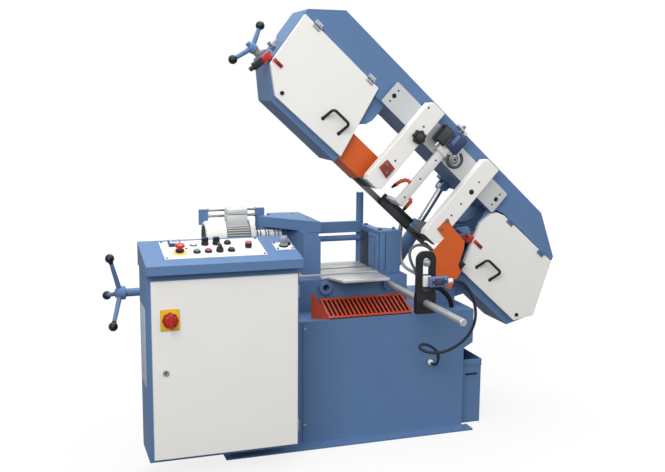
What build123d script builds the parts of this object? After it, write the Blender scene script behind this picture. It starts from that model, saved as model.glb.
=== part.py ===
"""Metal cutting band saw with a swinging bow, built as separate named parts.

Millimetres, +X to the right, +Y to the back, +Z up. The origin is on the floor in the middle of the
four anchor holes. The bow stands raised, and its pieces are drawn in its own lengthwise (u) and
crosswise (n) directions from the pivot.
"""
import math
import os

from build123d import *

os.makedirs("parts", exist_ok=True)

# Gaps and fits
gap = 0.3
run_fit = 0.05
slide_fit = 0.4

# Base
base_left = -560.0
base_right = 555.0
base_depth = 560.0
base_top = 562.0
sheet = 6.0
wing_reach = 45.0
wing_h = 158.0
wing_slope = 25.0
wing_depth = 450.0
flange_over = 27.0
flange_w = 63.0
flange_t = 8.0
anchor_inset = 30.0
anchor_d = 16.0

# Vise bed and table
bed_left = -600.0
bed_in = 220.0
bed_neck_in = 79.0
bed_front = 170.0
bed_back = 540.0
bed_h = 146.0
neck_front = 295.0
neck_back = 365.0
channel_w = 84.0
channel_depth = 84.0
channel_in = 140.0
step_x = -312.0
step_back = 360.0
step_drop = 18.0
end_wall = 30.0
screw_d = 28.0
shaft_d = 36.0
screw_deep = 44.0
screw_back = 350.0
screw_out = 940.0
boss_d = 60.0
boss_len = 20.0
boss_drop = 36.0
boss_left = -70.0
boss_in = 95.0
slat_t = 12.0
slat_left = -300.0
slat_gap = 8.0
slot_front = 195.0
slot_back = 235.0
lug_gap = 36.0
slats_back = 500.0
plate_front = 60.0
plate_left = -20.0
plate_in = 14.0
plate_tail = -90.0
plate_tail_front = 165.0
plate_notch = 40.0

# Jaws
jaw_front = 235.0
jaw_in = 119.0
jaw_wide = 109.0
jaw_h = 200.0
jaw_back = 500.0
jaw_neck_w = 36.0
jaw_step_front = 290.0
jaw_step_back = 360.0
jaw_chamfer = 3.0
face_t = 10.0
face_h = 165.0
face_back = 455.0
moving_x = -70.0
moving_w = 82.0
moving_h = 194.0
arm_t = 48.0
arm_back = 600.0
arm_step = -230.0
arm_step_back = 520.0
arm_left = -300.0
arm_left_front = 500.0
lug_t = 24.0
lug_len = 60.0
nut_w = 56.0
nut_len = 80.0
screw_end_gap = 10.0
bar_t = 20.0
bar_h = 54.0
bar_z = 160.0
bar_back = 490.0
round_d = 28.0
round_z = 118.0
post_d = 36.0
post_h = 352.0
post_in = 10.0
post_back = 522.0

# Chip grille and chip bin
grille_left = -104.0
grille_in = 40.0
grille_front = 6.0
grille_back = 146.0
grille_rise = 56.0
grille_t = 4.0
grille_slots = 19
grille_slot_w = 12.0
grille_border = 12.0
cheek_t = 3.0
splash_out = 73.0
splash_run = 36.0
splash_h = 124.0
bin_gap = 8.0
bin_w = 104.0
bin_front = 35.0
bin_depth = 270.0
bin_h = 310.0
bin_t = 3.0

# Control cabinet
cab_left = -920.0
cab_right = -308.0
cab_low = 92.0
cab_depth = 212.0
cab_t = 3.0
hood_over = 5.0
hood_reach = 260.0
hood_low = 855.0
hood_lip = 36.0
hood_rise = 57.0
door_left = -904.0
door_right = -317.0
door_low = 106.0
door_high = 826.0
cab_door_t = 17.5
door_skin = 2.5
door_seal = 0.5
hinge_r = 5.0
hinge_len = 46.0
hinge_inset = 75.0
hinge_sink = 1.0
edge_break = 1.5
switch_x = -834.0
switch_z = 673.0
switch_w = 76.0
switch_h = 86.0
switch_t = 3.0
switch_round = 6.0
switch_knob_r = 31.0
switch_knob_h = 20.0
switch_grip_h = 15.0
switch_grip_in = 4.0
latch_x = -854.0
latch_z = 462.0
latch_r = 12.0
latch_h = 8.0
side_plate_t = 2.0
side_plate_w = 150.0
side_plate_h = 320.0

# Console
panel_left = -843.0
panel_right = -436.0
panel_low = 62.0
panel_high = 243.0
panel_t = 3.0
flow_left = -387.0
flow_right = -311.0
flow_low = 104.0
flow_high = 180.0
row_low = 116.0
row_high = 194.0
column_1 = -710.0
column_2 = -664.0
column_3 = -618.0
column_4 = -571.0
ring_r = 15.0
ring_h = 8.0
cap_r = 11.5
cap_h = 9.0
cap_round = 1.2
press = 4.0
estop_x = -777.0
estop_y = 122.0
estop_plate_r = 30.0
estop_r = 20.0
estop_stem_r = 11.0
estop_stem_h = 16.0
estop_cap_h = 14.0
estop_round = 5.0
meter_x = -785.0
meter_y = 208.0
meter_w = 48.0
meter_h = 15.0
selector_r = 12.0
selector_h = 12.0
grip_w = 8.0
grip_h = 14.0
lever_reach = 20.0
speed_x = -497.0
speed_y = 137.0
speed_r = 12.0
speed_h = 24.0
flow_x = -349.0
flow_y = 140.0
flow_r = 16.0
flow_h = 38.0
knob_chamfer = 1.5

# Vise handwheel
hub_r = 30.0
hub_len = 46.0
spoke_r = 9.5
spoke_reach = 170.0
spoke_dish = 46.0
spoke_turn = -15.0
ball_r = 20.0

# Hydraulic power pack
tank_left = -600.0
tank_right = -302.0
tank_front = 385.0
tank_h = 92.0
motor_r = 75.0
motor_foot = 5.0
cowl_round = 8.0
motor_back = 452.0
cowl_left = -570.0
motor_left = -474.0
motor_right = -360.0
flange_right = -336.0
pump_right = -200.0
pump_r = 24.0
box_len = 92.0
box_w = 80.0
box_h = 132.0
tie_r = 6.0
tie_back = 537.0
tie_left = -575.0
tie_low = 258.0
tie_high = 286.0
tie_plate_t = 42.0
tie_plate_w = 16.0
tie_plate_h = 198.0
tie_short_h = 72.0

# Length stop
rod_d = 30.0
rod_end = -600.0
rod_grip = 100.0
rod_chamfer = 2.0
stop_front = -240.0
stop_w = 88.0
stop_t = 16.0
stop_low = 46.0
stop_high = 221.0
stop_slot_w = 30.0
stop_flat = 8.0
stop_slot_low = 50.0
stop_slot_high = 192.0
stop_foot_t = 30.0
stop_foot_h = 40.0
clamp_w = 36.0
clamp_h = 46.0
clamp_t = 14.0
clamp_z = 95.0
probe_len = 84.0
probe_h = 42.0
probe_t = 28.0
probe_nut_len = 24.0
probe_nut_r = 11.0
stop_knob_r = 15.0
stop_knob_z = 172.0
cable_d = 13.0
arc_share = 0.45
# Cable's bends: along from the stop rod, distance behind the front sheet, and height
cable_bends = (
    (198.0, -264.0, 716.0),
    (230.0, -250.0, 660.0),
    (246.0, -238.0, 600.0),
    (242.0, -226.0, 542.0),
    (218.0, -212.0, 492.0),
    (174.0, -198.0, 452.0),
    (122.0, -186.0, 428.0),
    (68.0, -172.0, 424.0),
    (24.0, -140.0, 438.0),
    (50.0, -98.0, 448.0),
    (102.0, -86.0, 434.0),
    (146.0, -92.0, 396.0),
)
cable_lead = 44.0
cable_drop = 84.0
gland_out = 140.0
gland_z = 330.0
gland_r = 14.0
gland_len = 28.0
gland_step = 2.0
gland_taper = 10.0

# Bow, measured from the pivot
swing_rest = 42.25
pivot_in = 30.0
pivot_h = 48.0
pivot_d = 50.0
cheek_thick = 30.0
pivot_cheek_front = 150.0
pivot_cheek_r = 50.0
lug_r = 44.0
bow_lug_t = 40.0
bow_lug_right = 110.0
bow_lug_left = -30.0
lug_start = 170.0
lug_finish = -37.0
blade_w = 27.0
blade_t = 0.9
blade_dip = 6.0
blade_back = 215.0
twist_left = -1080.0
cut_left = -850.0
cut_right = -225.0
twist_right = 20.0
twist_steps = 6
wheel_r = 170.0
wheel_w = 34.0
wheel_lip = 5.0
wheel_lip_w = 5.0
wheel_rim = 20.0
wheel_web = 12.0
wheel_hub_r = 40.0
wheel_hub_len = 60.0
wheel_window_r = 30.0
wheel_windows = 5
axle_d = 40.0
idler_u = -1145.0
drive_u = 190.0
floor_drop = 29.0
band_h = 140.0
beam_drop = 36.0
beam_wall = 12.0
house_wall = 6.0
house_lip = 38.0
house_lip_t = 4.0
gusset_t = 12.0
# Gusset between the left housing and the beam, along from house_right_end and across from beam_low_n
gusset_outline = ((-2.0, 30.0), (81.0, 10.0), (81.0, -82.0), (69.0, -115.0), (36.0, -146.0))
house_right_end = -921.0
house_slant = 72.0
left_reach = 42.0
right_reach = 65.0
left_lean = 25.0
left_shoulder_w = 102.0
left_shoulder_h = 115.0
left_toe_w = 117.0
left_toe_h = 107.0
right_top_in = 85.0
right_shoulder_w = 117.0
right_shoulder_h = 109.0
right_toe_w = 73.0
right_toe_h = 117.0
drive_slant_h = 232.0
drive_left = -118.0
drive_low_left = -35.0
door_front = 100.0
wheel_door_t = 22.0
beam_front = 110.0
house_front = 124.0
house_back = 345.0
beam_back = 300.0
door_gap = 3.0
door_play = 1.0
door_inset = 4.0
door_dip = 6.0
band_slope = 10.0
band_over = 7.0
# Stepped upper corner of the drive door and of the band over it, from drive_left and the doors' top
drive_door_corner = ((14.0, -40.0), (36.0, -14.0), (73.0, -1.0))
drive_band_corner = ((73.0, 6.0), (26.0, -7.0), (5.0, -36.0))
hinge_front = 95.0
door_hinge_r = 4.5
door_hinge_len = 40.0
leaf_rise = 8.0
leaf_h = 6.0
leaf_reach = 10.0
leaf_t = 4.0
idler_hinge_in = 52.0
drive_hinge_left = 120.0
drive_hinge_right = 190.0
handle_r = 6.0
handle_bend = 14.0
handle_out = 40.0
handle_up = 50.0
handle_len = 98.0
handle_n = 71.0
idler_handle_u = -975.0
drive_handle_u = 64.0
# Locks and interlock keys, along from the housing's end or drive_left, and across from the blade
idler_lock = (125.0, 24.0)
idler_key = (28.0, 104.0)
drive_lock = (78.0, 36.0)
drive_key = (66.0, 150.0)
lock_r = 9.0
lock_h = 6.0
mouth_h = 152.0
mouth_front = 130.0
mouth_back = 300.0

# Blade guides on the bow
rail_low = 0.0
rail_h = 115.0
rail_left = -877.0
rail_right = -108.0
rail_front = 90.0
rail_t = 10.0
rail_corner = 8.0
rail_hole_in = 30.0
rail_hole_r = 11.0
spacer_inset = 29.0
arm_w = 92.0
arm_corner = 18.0
arm_cut = 10.0
arm_chamfer = 2.0
guide_front = 45.0
guide_arm_top = 153.0
guide_arm_low = 2.0
left_arm_u = -718.0
right_arm_u = -335.0
claw_t = 13.0
claw_w = 80.0
claw_lip = 24.0
claw_back = 108.5
block_w = 54.0
block_h = 68.0
block_back = 226.0
block_mid = 55.0
star_r = 33.0
star_h = 24.0
star_u = 65.0
star_n = 296.0
star_notch = 8.0
star_points = 7
guard_t = 4.0
left_guard_d = 136.0
left_guard_len = 215.0
left_guard_h = 123.0
left_guard_fold = 1.5
left_guard_drop = 18.3
left_guard_knee = 205.0
left_guard_back = 228.0
left_guard_lip = 3.0
left_guard_cut = 20.0
# Right guard's outline, along from the right arm's left edge and across from the blade
right_guard_outline = (
    (45.0, 124.0),
    (38.0, 56.0),
    (95.0, 48.0),
    (92.0, -26.0),
    (176.0, -102.0),
    (264.0, -112.0),
    (284.0, -105.0),
    (277.0, -50.0),
    (272.0, -10.0),
    (238.0, 3.0),
    (209.0, 74.0),
    (186.0, 105.0),
    (105.0, 110.0),
)
probe_bar_u = -530.0
probe_bar_w = 44.0
probe_bar_front = 66.0
probe_bar_t = 20.0
probe_bar_over = 78.5
probe_wall = 16.0
probe_cover = 10.0
probe_wall_h = 80.0
side_box_out = 29.0
side_box_up = 27.0
side_box_w = 54.0
side_box_h = 84.0
side_box_front = 40.0
front_box_in = 17.0
front_box_up = 39.0
front_box_w = 66.0
front_box_h = 88.0
front_box_t = 22.0
interlock_len = 70.0
interlock_head = 30.0
interlock_drop = 60.0
interlock_lean = 20.0
interlock_w = 30.0
interlock_t = 34.0
interlock_back = 16.0
interlock_rise = 105.0
interlock_tilt = 10.0
touch_left = -540.0
touch_right = -345.0
touch_front = 193.0
touch_low_front = 199.0
touch_back = 209.0
touch_h = 16.0
touch_rise = 23.0
touch_drop = 17.0
touch_lip = 8.0
touch_link = 10.0
nozzle_r = 6.5
nozzle_bend = 10.0
# Nozzle routes, along from the bar's side, across from the blade, and the distance back
left_nozzle = ((0.0, 129.5, 76.0), (-18.0, 129.5, 76.0), (-28.0, 104.5, 104.0), (-35.0, 42.5, 140.0))
right_nozzle = ((0.0, 74.5, 76.0), (18.0, 74.5, 76.0), (30.0, 46.5, 108.0), (36.0, 22.5, 122.0))

# Lift cylinder and tension screw
lift_in = 180.0
lift_up = 80.0
lift_back = 400.0
lift_u = -257.0
lift_under = 6.5
lift_pin_d = 20.0
lift_eye_w = 40.0
lift_eye_r = 22.0
lift_plate_t = 10.0
barrel_d = 66.0
barrel_bore = 56.0
barrel_len = 275.0
barrel_start = 34.0
barrel_foot = 45.0
head_d = 74.0
head_len = 30.0
head_hole = 55.5
lift_rod_d = 32.0
lift_rod_len = 275.0
top_eye_w = 36.0
top_eye_r = 20.0
bracket_t = 16.0
bracket_w = 90.0
bracket_h = 24.0
bracket_clear = 5.0
tension_under = 57.5
tension_back = 290.0
tension_d = 20.0
tension_hub_r = 22.0
tension_hub_len = 34.0
tension_gap = 25.0
tension_arms = 2
tension_reach = 106.0
tension_turn = 16.0
tension_dish = 34.0
tension_ball_r = 20.0
tension_block = 60.0
tension_block_len = 26.0
tension_sink = 2.0
carriage_len = 180.0
carriage_high = 45.0
carriage_low = 100.0
carriage_front = 262.0
carriage_rail = 14.0
carriage_over = 27.0
gear_w = 190.0
gear_h = 185.0
gear_deep = 125.0
drive_motor_r = 70.0
drive_motor_deep = 85.0
drive_motor_n = 42.0
drive_motor_left = -145.0
drive_shaft_d = 45.0

# Worked-out places
front_y = -base_depth / 2
wing_right = base_right + wing_reach
bed_right = base_right - bed_in
bed_neck = bed_right - bed_neck_in
channel_end = bed_right - channel_in
boss_right = bed_right - boss_in
jaw_x = bed_right - jaw_in
plate_right = jaw_x - plate_in
post_x = jaw_x + post_in
grille_right = bed_right - grille_in
gland_x = boss_right + gland_out
bed_top = base_top + bed_h
table_top = bed_top + slat_t
screw_z = bed_top - screw_deep
boss_z = bed_top - boss_drop
pivot_x = base_right - pivot_in
pivot_z = base_top + pivot_h
blade_n = table_top - blade_dip + blade_w / 2 - pivot_z
wheel_n = blade_n + wheel_r
floor_n = blade_n - floor_drop
door_top_n = wheel_n + wheel_r
beam_low_n = door_top_n - beam_drop
top_n = door_top_n + band_h
rail_n = beam_low_n + rail_low
left_end = idler_u - wheel_r - left_reach
right_end = drive_u + wheel_r + right_reach
left_low_n = floor_n + left_toe_h
left_high_n = top_n - left_shoulder_h
lift_x = pivot_x - lift_in
lift_z = pivot_z + lift_up
lift_n = beam_low_n - lift_under
tension_n = wheel_n - tension_under
probe_bar_top = beam_low_n + probe_bar_over
swing = math.radians(swing_rest)
bow_along = (math.cos(swing), 0, -math.sin(swing))


def back(distance):
    """Return the Y of a place that lies this far behind the base's front sheet."""
    return front_y + distance


def front_plane(distance):
    """Return an upright plane behind the front sheet, x to the right, y up, facing the front."""
    return Plane(origin=(0, back(distance), 0), x_dir=(1, 0, 0), z_dir=(0, -1, 0))


def bow_plane(distance):
    """Return the bow's own front-facing plane, x along the bow, y across it."""
    return Plane(origin=(pivot_x, back(distance), pivot_z), x_dir=bow_along, z_dir=(0, -1, 0))


def bow_point(along, across, distance):
    """Return the place of a point given along and across the bow."""
    return bow_plane(distance).from_local_coords(Vector(along, across, 0))


def bow_section(along, across, distance):
    """Return a plane square to the bow's length, x to the back, y across the bow."""
    return Plane(origin=bow_point(along, across, distance), x_dir=(0, 1, 0), z_dir=bow_along)


def left_edge(across):
    """Return where the left housing's leaning end is, at a height across the bow."""
    return left_end - left_lean * (across - left_low_n) / (left_high_n - left_low_n)


def console_plane(height=0.0):
    """Return the sloping console top, x to the right, y up the slope, raised by a height."""
    slope = Plane(
        origin=(0, back(-hood_reach), hood_low + hood_lip),
        x_dir=(1, 0, 0),
        z_dir=(0, -hood_rise, hood_reach),
    )
    return slope.offset(height)


def save(builder, name):
    """Label a finished piece and write it as its own file."""
    builder.part.label = name
    export_step(builder.part, f"parts/{name}.step")


# Welded base with its drip wing and foot flanges
with BuildPart() as base_frame:
    base_mid = (base_left + base_right) / 2
    base_len = base_right - base_left
    with BuildSketch(Plane.XY):
        with Locations((base_mid, 0)):
            Rectangle(base_len, base_depth)
    extrude(amount=base_top)
    wing_low = base_top - wing_h
    with BuildSketch(front_plane(0)):
        Polygon(
            (base_right, wing_low - wing_slope),
            (wing_right, wing_low),
            (wing_right, base_top),
            (base_right, base_top),
            align=None,
        )
    extrude(amount=-wing_depth)
    with BuildSketch(Plane.XY):
        with Locations((base_mid, 0)):
            Rectangle(base_len - 2 * sheet, base_depth - 2 * sheet)
    extrude(amount=base_top - sheet, mode=Mode.SUBTRACT)
    with BuildSketch(front_plane(sheet)):
        Polygon(
            (base_right - sheet, wing_low - wing_slope + 2 * sheet),
            (wing_right - sheet, wing_low + sheet),
            (wing_right - sheet, base_top - sheet),
            (base_right - sheet, base_top - sheet),
            align=None,
        )
    extrude(amount=-(wing_depth - 2 * sheet), mode=Mode.SUBTRACT)
    chip_mouth_back = bed_front - sheet
    with BuildSketch(Plane.XY.offset(base_top)):
        with Locations(((grille_left + grille_right) / 2, back((sheet + chip_mouth_back) / 2))):
            Rectangle(grille_right - grille_left - 4 * sheet, chip_mouth_back - 3 * sheet)
    extrude(amount=-2 * sheet, mode=Mode.SUBTRACT)
    flange_half = base_right + flange_over
    anchor_y = base_depth / 2 + flange_w / 2
    with BuildSketch(Plane.XY):
        with GridLocations(0, base_depth + flange_w, 1, 2):
            Rectangle(2 * flange_half, flange_w)
    extrude(amount=flange_t)
    with BuildSketch(Plane.XY):
        with GridLocations(2 * (flange_half - anchor_inset), 2 * anchor_y, 2, 2):
            Circle(anchor_d / 2)
    extrude(amount=flange_t, mode=Mode.SUBTRACT)
save(base_frame, "base_frame")

# Cast vise bed with the screw channel and the two stop rod sockets
with BuildPart() as vise_bed:
    with BuildSketch(Plane.XY.offset(base_top)):
        Polygon(
            (bed_left, back(bed_front)),
            (bed_right, back(bed_front)),
            (bed_right, back(neck_front)),
            (bed_neck, back(neck_back)),
            (bed_neck, back(bed_back)),
            (bed_left, back(bed_back)),
            align=None,
        )
    extrude(amount=bed_h)
    with BuildSketch(Plane.XY.offset(bed_top)):
        channel_start = bed_left + end_wall
        with Locations(((channel_start + channel_end) / 2, back(screw_back))):
            Rectangle(channel_end - channel_start, channel_w)
    extrude(amount=-channel_depth, mode=Mode.SUBTRACT)
    with BuildSketch(Plane.XY.offset(bed_top)):
        with Locations(((bed_left + step_x) / 2, back((bed_front + step_back) / 2))):
            Rectangle(step_x - bed_left, step_back - bed_front)
    extrude(amount=-step_drop, mode=Mode.SUBTRACT)
    with BuildSketch(Plane.YZ.offset(bed_left)):
        with Locations((back(screw_back), screw_z)):
            Circle(shaft_d / 2 + run_fit)
    extrude(amount=end_wall, mode=Mode.SUBTRACT)
    with BuildSketch(front_plane(bed_front)):
        with Locations((boss_left, boss_z), (boss_right, boss_z)):
            Circle(boss_d / 2)
    extrude(amount=boss_len)
    with BuildSketch(front_plane(bed_front - boss_len)):
        with Locations((boss_left, boss_z), (boss_right, boss_z)):
            Circle(rod_d / 2 + run_fit)
    extrude(amount=-(boss_len + rod_grip), mode=Mode.SUBTRACT)
save(vise_bed, "vise_bed")

# Ground table plates and the fixed jaw's steel face
with BuildPart() as table_plates:
    with BuildSketch(Plane.XY.offset(bed_top)):
        Polygon(
            (plate_tail, back(slot_front)),
            (plate_right, back(slot_front)),
            (plate_right, back(plate_front)),
            (plate_left, back(plate_front)),
            (plate_left - plate_notch, back(plate_tail_front)),
            (plate_tail, back(plate_tail_front)),
            align=None,
        )
    extrude(amount=slat_t)
    lug_front = screw_back - lug_gap / 2
    lug_back = screw_back + lug_gap / 2
    front_mid = (slot_back + lug_front) / 2
    rear_mid = (lug_back + slats_back) / 2
    strips = (
        (slot_back, front_mid - slat_gap / 2),
        (front_mid + slat_gap / 2, lug_front),
        (lug_back, rear_mid - slat_gap / 2),
        (rear_mid + slat_gap / 2, slats_back),
    )
    with BuildSketch(Plane.XY.offset(bed_top)):
        for strip_front, strip_back in strips:
            with Locations(((slat_left + jaw_x) / 2, back((strip_front + strip_back) / 2))):
                Rectangle(jaw_x - slat_left, strip_back - strip_front)
    extrude(amount=slat_t)
    with BuildSketch(Plane.XY.offset(table_top + gap)):
        with Locations((jaw_x - face_t / 2, back((jaw_front + face_back) / 2))):
            Rectangle(face_t, face_back - jaw_front)
    extrude(amount=face_h)
save(table_plates, "table_plates")

# Fixed jaw block
with BuildPart() as fixed_jaw:
    with BuildSketch(Plane.XY.offset(bed_top)):
        Polygon(
            (jaw_x, back(jaw_front)),
            (jaw_x + jaw_wide, back(jaw_front)),
            (jaw_x + jaw_wide, back(jaw_step_front)),
            (jaw_x + jaw_neck_w, back(jaw_step_back)),
            (jaw_x + jaw_neck_w, back(jaw_back)),
            (jaw_x, back(jaw_back)),
            align=None,
        )
    extrude(amount=jaw_h)
    chamfer(fixed_jaw.faces().sort_by(Axis.Z)[-1].edges(), length=jaw_chamfer)
save(fixed_jaw, "fixed_jaw")

# Rear guide bars of the vise and the upright post
with BuildPart() as rear_guides:
    guide_len = jaw_x - slat_left
    guide_mid = (jaw_x + slat_left) / 2
    with Locations((guide_mid, back(bar_back), bed_top + bar_z + bar_h / 2)):
        Box(guide_len, bar_t, bar_h)
    with BuildSketch(Plane.YZ.offset(slat_left)):
        with Locations((back(bar_back), bed_top + round_z + round_d / 2)):
            Circle(round_d / 2)
    extrude(amount=guide_len)
    with BuildSketch(Plane.XY.offset(bed_top)):
        with Locations((post_x, back(post_back))):
            Circle(post_d / 2)
    extrude(amount=post_h)
save(rear_guides, "rear_guides")

# Moving jaw: column, gusset arm, steel face, and the lug with its nut
with BuildPart() as moving_jaw:
    column_x = moving_x - face_t
    column_left = moving_x - moving_w
    column_back = jaw_back + bar_t
    jaw_floor = table_top + gap
    with BuildSketch(Plane.XY.offset(jaw_floor)):
        with Locations(((column_left + column_x) / 2, back((jaw_front + column_back) / 2))):
            Rectangle(column_x - column_left, column_back - jaw_front)
    extrude(amount=moving_h)
    with BuildSketch(Plane.XY.offset(jaw_floor + moving_h)):
        Polygon(
            (moving_x, back(jaw_front)),
            (moving_x, back(arm_back - slat_gap)),
            (column_left, back(arm_back)),
            (arm_step, back(arm_back)),
            (arm_step, back(arm_step_back)),
            (arm_left, back(arm_step_back)),
            (arm_left, back(arm_left_front)),
            (moving_x - face_t, back(jaw_front)),
            align=None,
        )
    extrude(amount=arm_t)
    with BuildSketch(Plane.XY.offset(jaw_floor)):
        with Locations(((column_left + column_x) / 2, back(screw_back))):
            Rectangle(lug_len, lug_t)
    extrude(amount=-(jaw_floor - screw_z))
    with Locations(((column_left + column_x) / 2, back(screw_back), screw_z)):
        Box(nut_len, nut_w, nut_w)
    with BuildSketch(Plane.YZ.offset(column_left - nut_len)):
        with Locations((back(screw_back), screw_z)):
            Circle(screw_d / 2 + gap)
    extrude(amount=3 * nut_len, mode=Mode.SUBTRACT)
    with Locations((moving_x, back(bar_back), bed_top + bar_z + bar_h / 2)):
        bar_cut = 2 * (moving_x - arm_left + slat_gap)
        Box(bar_cut, bar_t + 2 * slide_fit, bar_h + 2 * slide_fit, mode=Mode.SUBTRACT)
    with BuildSketch(Plane.YZ.offset(column_left - nut_len)):
        with Locations((back(bar_back), bed_top + round_z + round_d / 2)):
            Circle(round_d / 2 + slide_fit)
    extrude(amount=3 * nut_len, mode=Mode.SUBTRACT)
    with Locations((moving_x - face_t / 2, back((jaw_front + face_back) / 2), jaw_floor + face_h / 2)):
        Box(face_t, face_back - jaw_front, face_h)
save(moving_jaw, "moving_jaw")

# Lead screw of the vise with its long shaft
with BuildPart() as vise_screw:
    with BuildSketch(Plane.YZ.offset(-screw_out)):
        with Locations((back(screw_back), screw_z)):
            Circle(shaft_d / 2)
    extrude(amount=screw_out + bed_left + end_wall)
    with BuildSketch(Plane.YZ.offset(bed_left + end_wall)):
        with Locations((back(screw_back), screw_z)):
            Circle(screw_d / 2)
    extrude(amount=channel_end - bed_left - end_wall - screw_end_gap)
save(vise_screw, "vise_screw")

# Vise handwheel with three dished spokes and ball grips
with BuildPart() as vise_handwheel:
    with BuildSketch(Plane.YZ.offset(-screw_out)):
        with Locations((back(screw_back), screw_z)):
            Circle(hub_r)
    extrude(amount=-hub_len)
    hub_mid = Vector(-screw_out - hub_len / 2, back(screw_back), screw_z)
    for number in range(3):
        turn = math.radians(spoke_turn + 120 * number)
        grip = hub_mid + Vector(-spoke_dish, math.sin(turn) * spoke_reach, math.cos(turn) * spoke_reach)
        with BuildSketch(Plane(origin=hub_mid, z_dir=grip - hub_mid)):
            Circle(spoke_r)
        extrude(amount=(grip - hub_mid).length)
        with Locations(grip):
            Sphere(ball_r)
save(vise_handwheel, "vise_handwheel")

# Slotted chip grille on two cheeks, with a slanting splash plate on its left
with BuildPart() as chip_grille:
    grille_mid = (grille_left + grille_right) / 2
    grille_w = grille_right - grille_left
    grille_run = grille_back - grille_front
    grille_plane = Plane(
        origin=(grille_mid, back((grille_front + grille_back) / 2), base_top + grille_t + grille_rise / 2),
        x_dir=(1, 0, 0),
        z_dir=(0, -grille_rise, grille_run),
    )
    grille_len = math.hypot(grille_run, grille_rise)
    slot_step = (grille_w - grille_border) / grille_slots
    with BuildSketch(grille_plane):
        Rectangle(grille_w, grille_len)
        with GridLocations(slot_step, 0, grille_slots, 1):
            Rectangle(grille_slot_w, grille_len - 2 * grille_border, mode=Mode.SUBTRACT)
    extrude(amount=grille_t)
    for cheek_x in (grille_left, grille_right - cheek_t):
        with BuildSketch(Plane.YZ.offset(cheek_x)):
            Polygon(
                (back(grille_front), base_top),
                (back(grille_back), base_top),
                (back(grille_back), base_top + 1.5 * grille_t + grille_rise),
                (back(grille_front), base_top + 1.5 * grille_t),
                align=None,
            )
        extrude(amount=cheek_t)
    splash_len = math.hypot(splash_out, splash_run)
    splash_plane = Plane(
        origin=(grille_left + cheek_t, back(grille_front + grille_t), base_top),
        x_dir=(-splash_out, splash_run, 0),
        z_dir=(splash_run, splash_out, 0),
    )
    with BuildSketch(splash_plane):
        Polygon((0, 0), (splash_len, 0), (splash_len, splash_h), (0, 2 * grille_t), align=None)
    extrude(amount=cheek_t)
save(chip_grille, "chip_grille")

# Loose chip bin beside the base
with BuildPart() as chip_bin:
    bin_left = base_right + bin_gap
    with Locations((bin_left + bin_w / 2, back(bin_front + bin_depth / 2), bin_h / 2)):
        Box(bin_w, bin_depth, bin_h)
    with Locations((bin_left + bin_w / 2, back(bin_front + bin_depth / 2), bin_h / 2 + bin_t)):
        Box(bin_w - 2 * bin_t, bin_depth - 2 * bin_t, bin_h, mode=Mode.SUBTRACT)
save(chip_bin, "chip_bin")

# Control cabinet with its sloping console hood, hinge barrels and side plate
with BuildPart() as cabinet:
    cab_w = cab_right - cab_left
    hood_w = cab_w + 2 * hood_over
    with BuildSketch(Plane.YZ.offset(cab_left)):
        with Locations((back(-cab_depth / 2), (cab_low + hood_low) / 2)):
            Rectangle(cab_depth, hood_low - cab_low)
    extrude(amount=cab_w)
    with BuildSketch(Plane.YZ.offset(cab_left - hood_over)):
        Polygon(
            (back(0), hood_low),
            (back(-hood_reach), hood_low),
            (back(-hood_reach), hood_low + hood_lip),
            (back(0), hood_low + hood_lip + hood_rise),
            align=None,
        )
    extrude(amount=hood_w)
    with BuildSketch(Plane.YZ.offset(cab_left + cab_t)):
        Polygon(
            (back(-cab_t), cab_low + cab_t),
            (back(-cab_depth + cab_t), cab_low + cab_t),
            (back(-cab_depth + cab_t), hood_low + hood_lip / 2),
            (back(-cab_t), hood_low + hood_lip + hood_rise - 2 * cab_t),
            align=None,
        )
    extrude(amount=cab_w - 2 * cab_t, mode=Mode.SUBTRACT)
    rebate = 4 * cab_t
    with BuildSketch(front_plane(-cab_depth)):
        with Locations(((door_left + door_right) / 2, (door_low + door_high) / 2)):
            Rectangle(door_right - door_left - 2 * rebate, door_high - door_low - 2 * rebate)
    extrude(amount=-2 * cab_t, mode=Mode.SUBTRACT)
    hinge_x = door_right + hinge_r + gap
    hinge_y = back(-cab_depth) - hinge_r + hinge_sink
    for hinge_z in (door_low + hinge_inset, door_high - hinge_inset):
        with Locations((hinge_x, hinge_y, hinge_z)):
            Cylinder(hinge_r, hinge_len)
    side_plate_z = (cab_low + hood_low) / 2 + hinge_inset
    with Locations((cab_left - side_plate_t / 2, back(-cab_depth / 2), side_plate_z)):
        Box(side_plate_t, side_plate_w, side_plate_h)
save(cabinet, "cabinet")

# Cabinet door, a folded tray
with BuildPart() as cabinet_door:
    door_back = -cab_depth - door_seal
    with BuildSketch(front_plane(door_back)):
        with Locations(((door_left + door_right) / 2, (door_low + door_high) / 2)):
            Rectangle(door_right - door_left, door_high - door_low)
    extrude(amount=cab_door_t)
    chamfer(cabinet_door.faces().sort_by(Axis.Y)[0].edges(), length=edge_break)
    with BuildSketch(front_plane(door_back)):
        with Locations(((door_left + door_right) / 2, (door_low + door_high) / 2)):
            Rectangle(door_right - door_left - 2 * door_skin, door_high - door_low - 2 * door_skin)
    extrude(amount=cab_door_t - door_skin, mode=Mode.SUBTRACT)
save(cabinet_door, "cabinet_door")
door_face = door_back - cab_door_t

# Main switch plate and its rotary knob
with BuildPart() as switch_plate:
    with BuildSketch(front_plane(door_face)):
        with Locations((switch_x, switch_z)):
            RectangleRounded(switch_w, switch_h, switch_round)
    extrude(amount=switch_t)
save(switch_plate, "switch_plate")

with BuildPart() as switch_knob:
    knob_base = door_face - switch_t - gap
    with BuildSketch(front_plane(knob_base)):
        with Locations((switch_x, switch_z)):
            Circle(switch_knob_r)
    extrude(amount=switch_knob_h)
    with BuildSketch(front_plane(knob_base - switch_knob_h)):
        with Locations((switch_x, switch_z)):
            SlotOverall(2 * switch_knob_r - switch_grip_in, switch_grip_h)
    extrude(amount=switch_grip_h)
save(switch_knob, "switch_knob")

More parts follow.
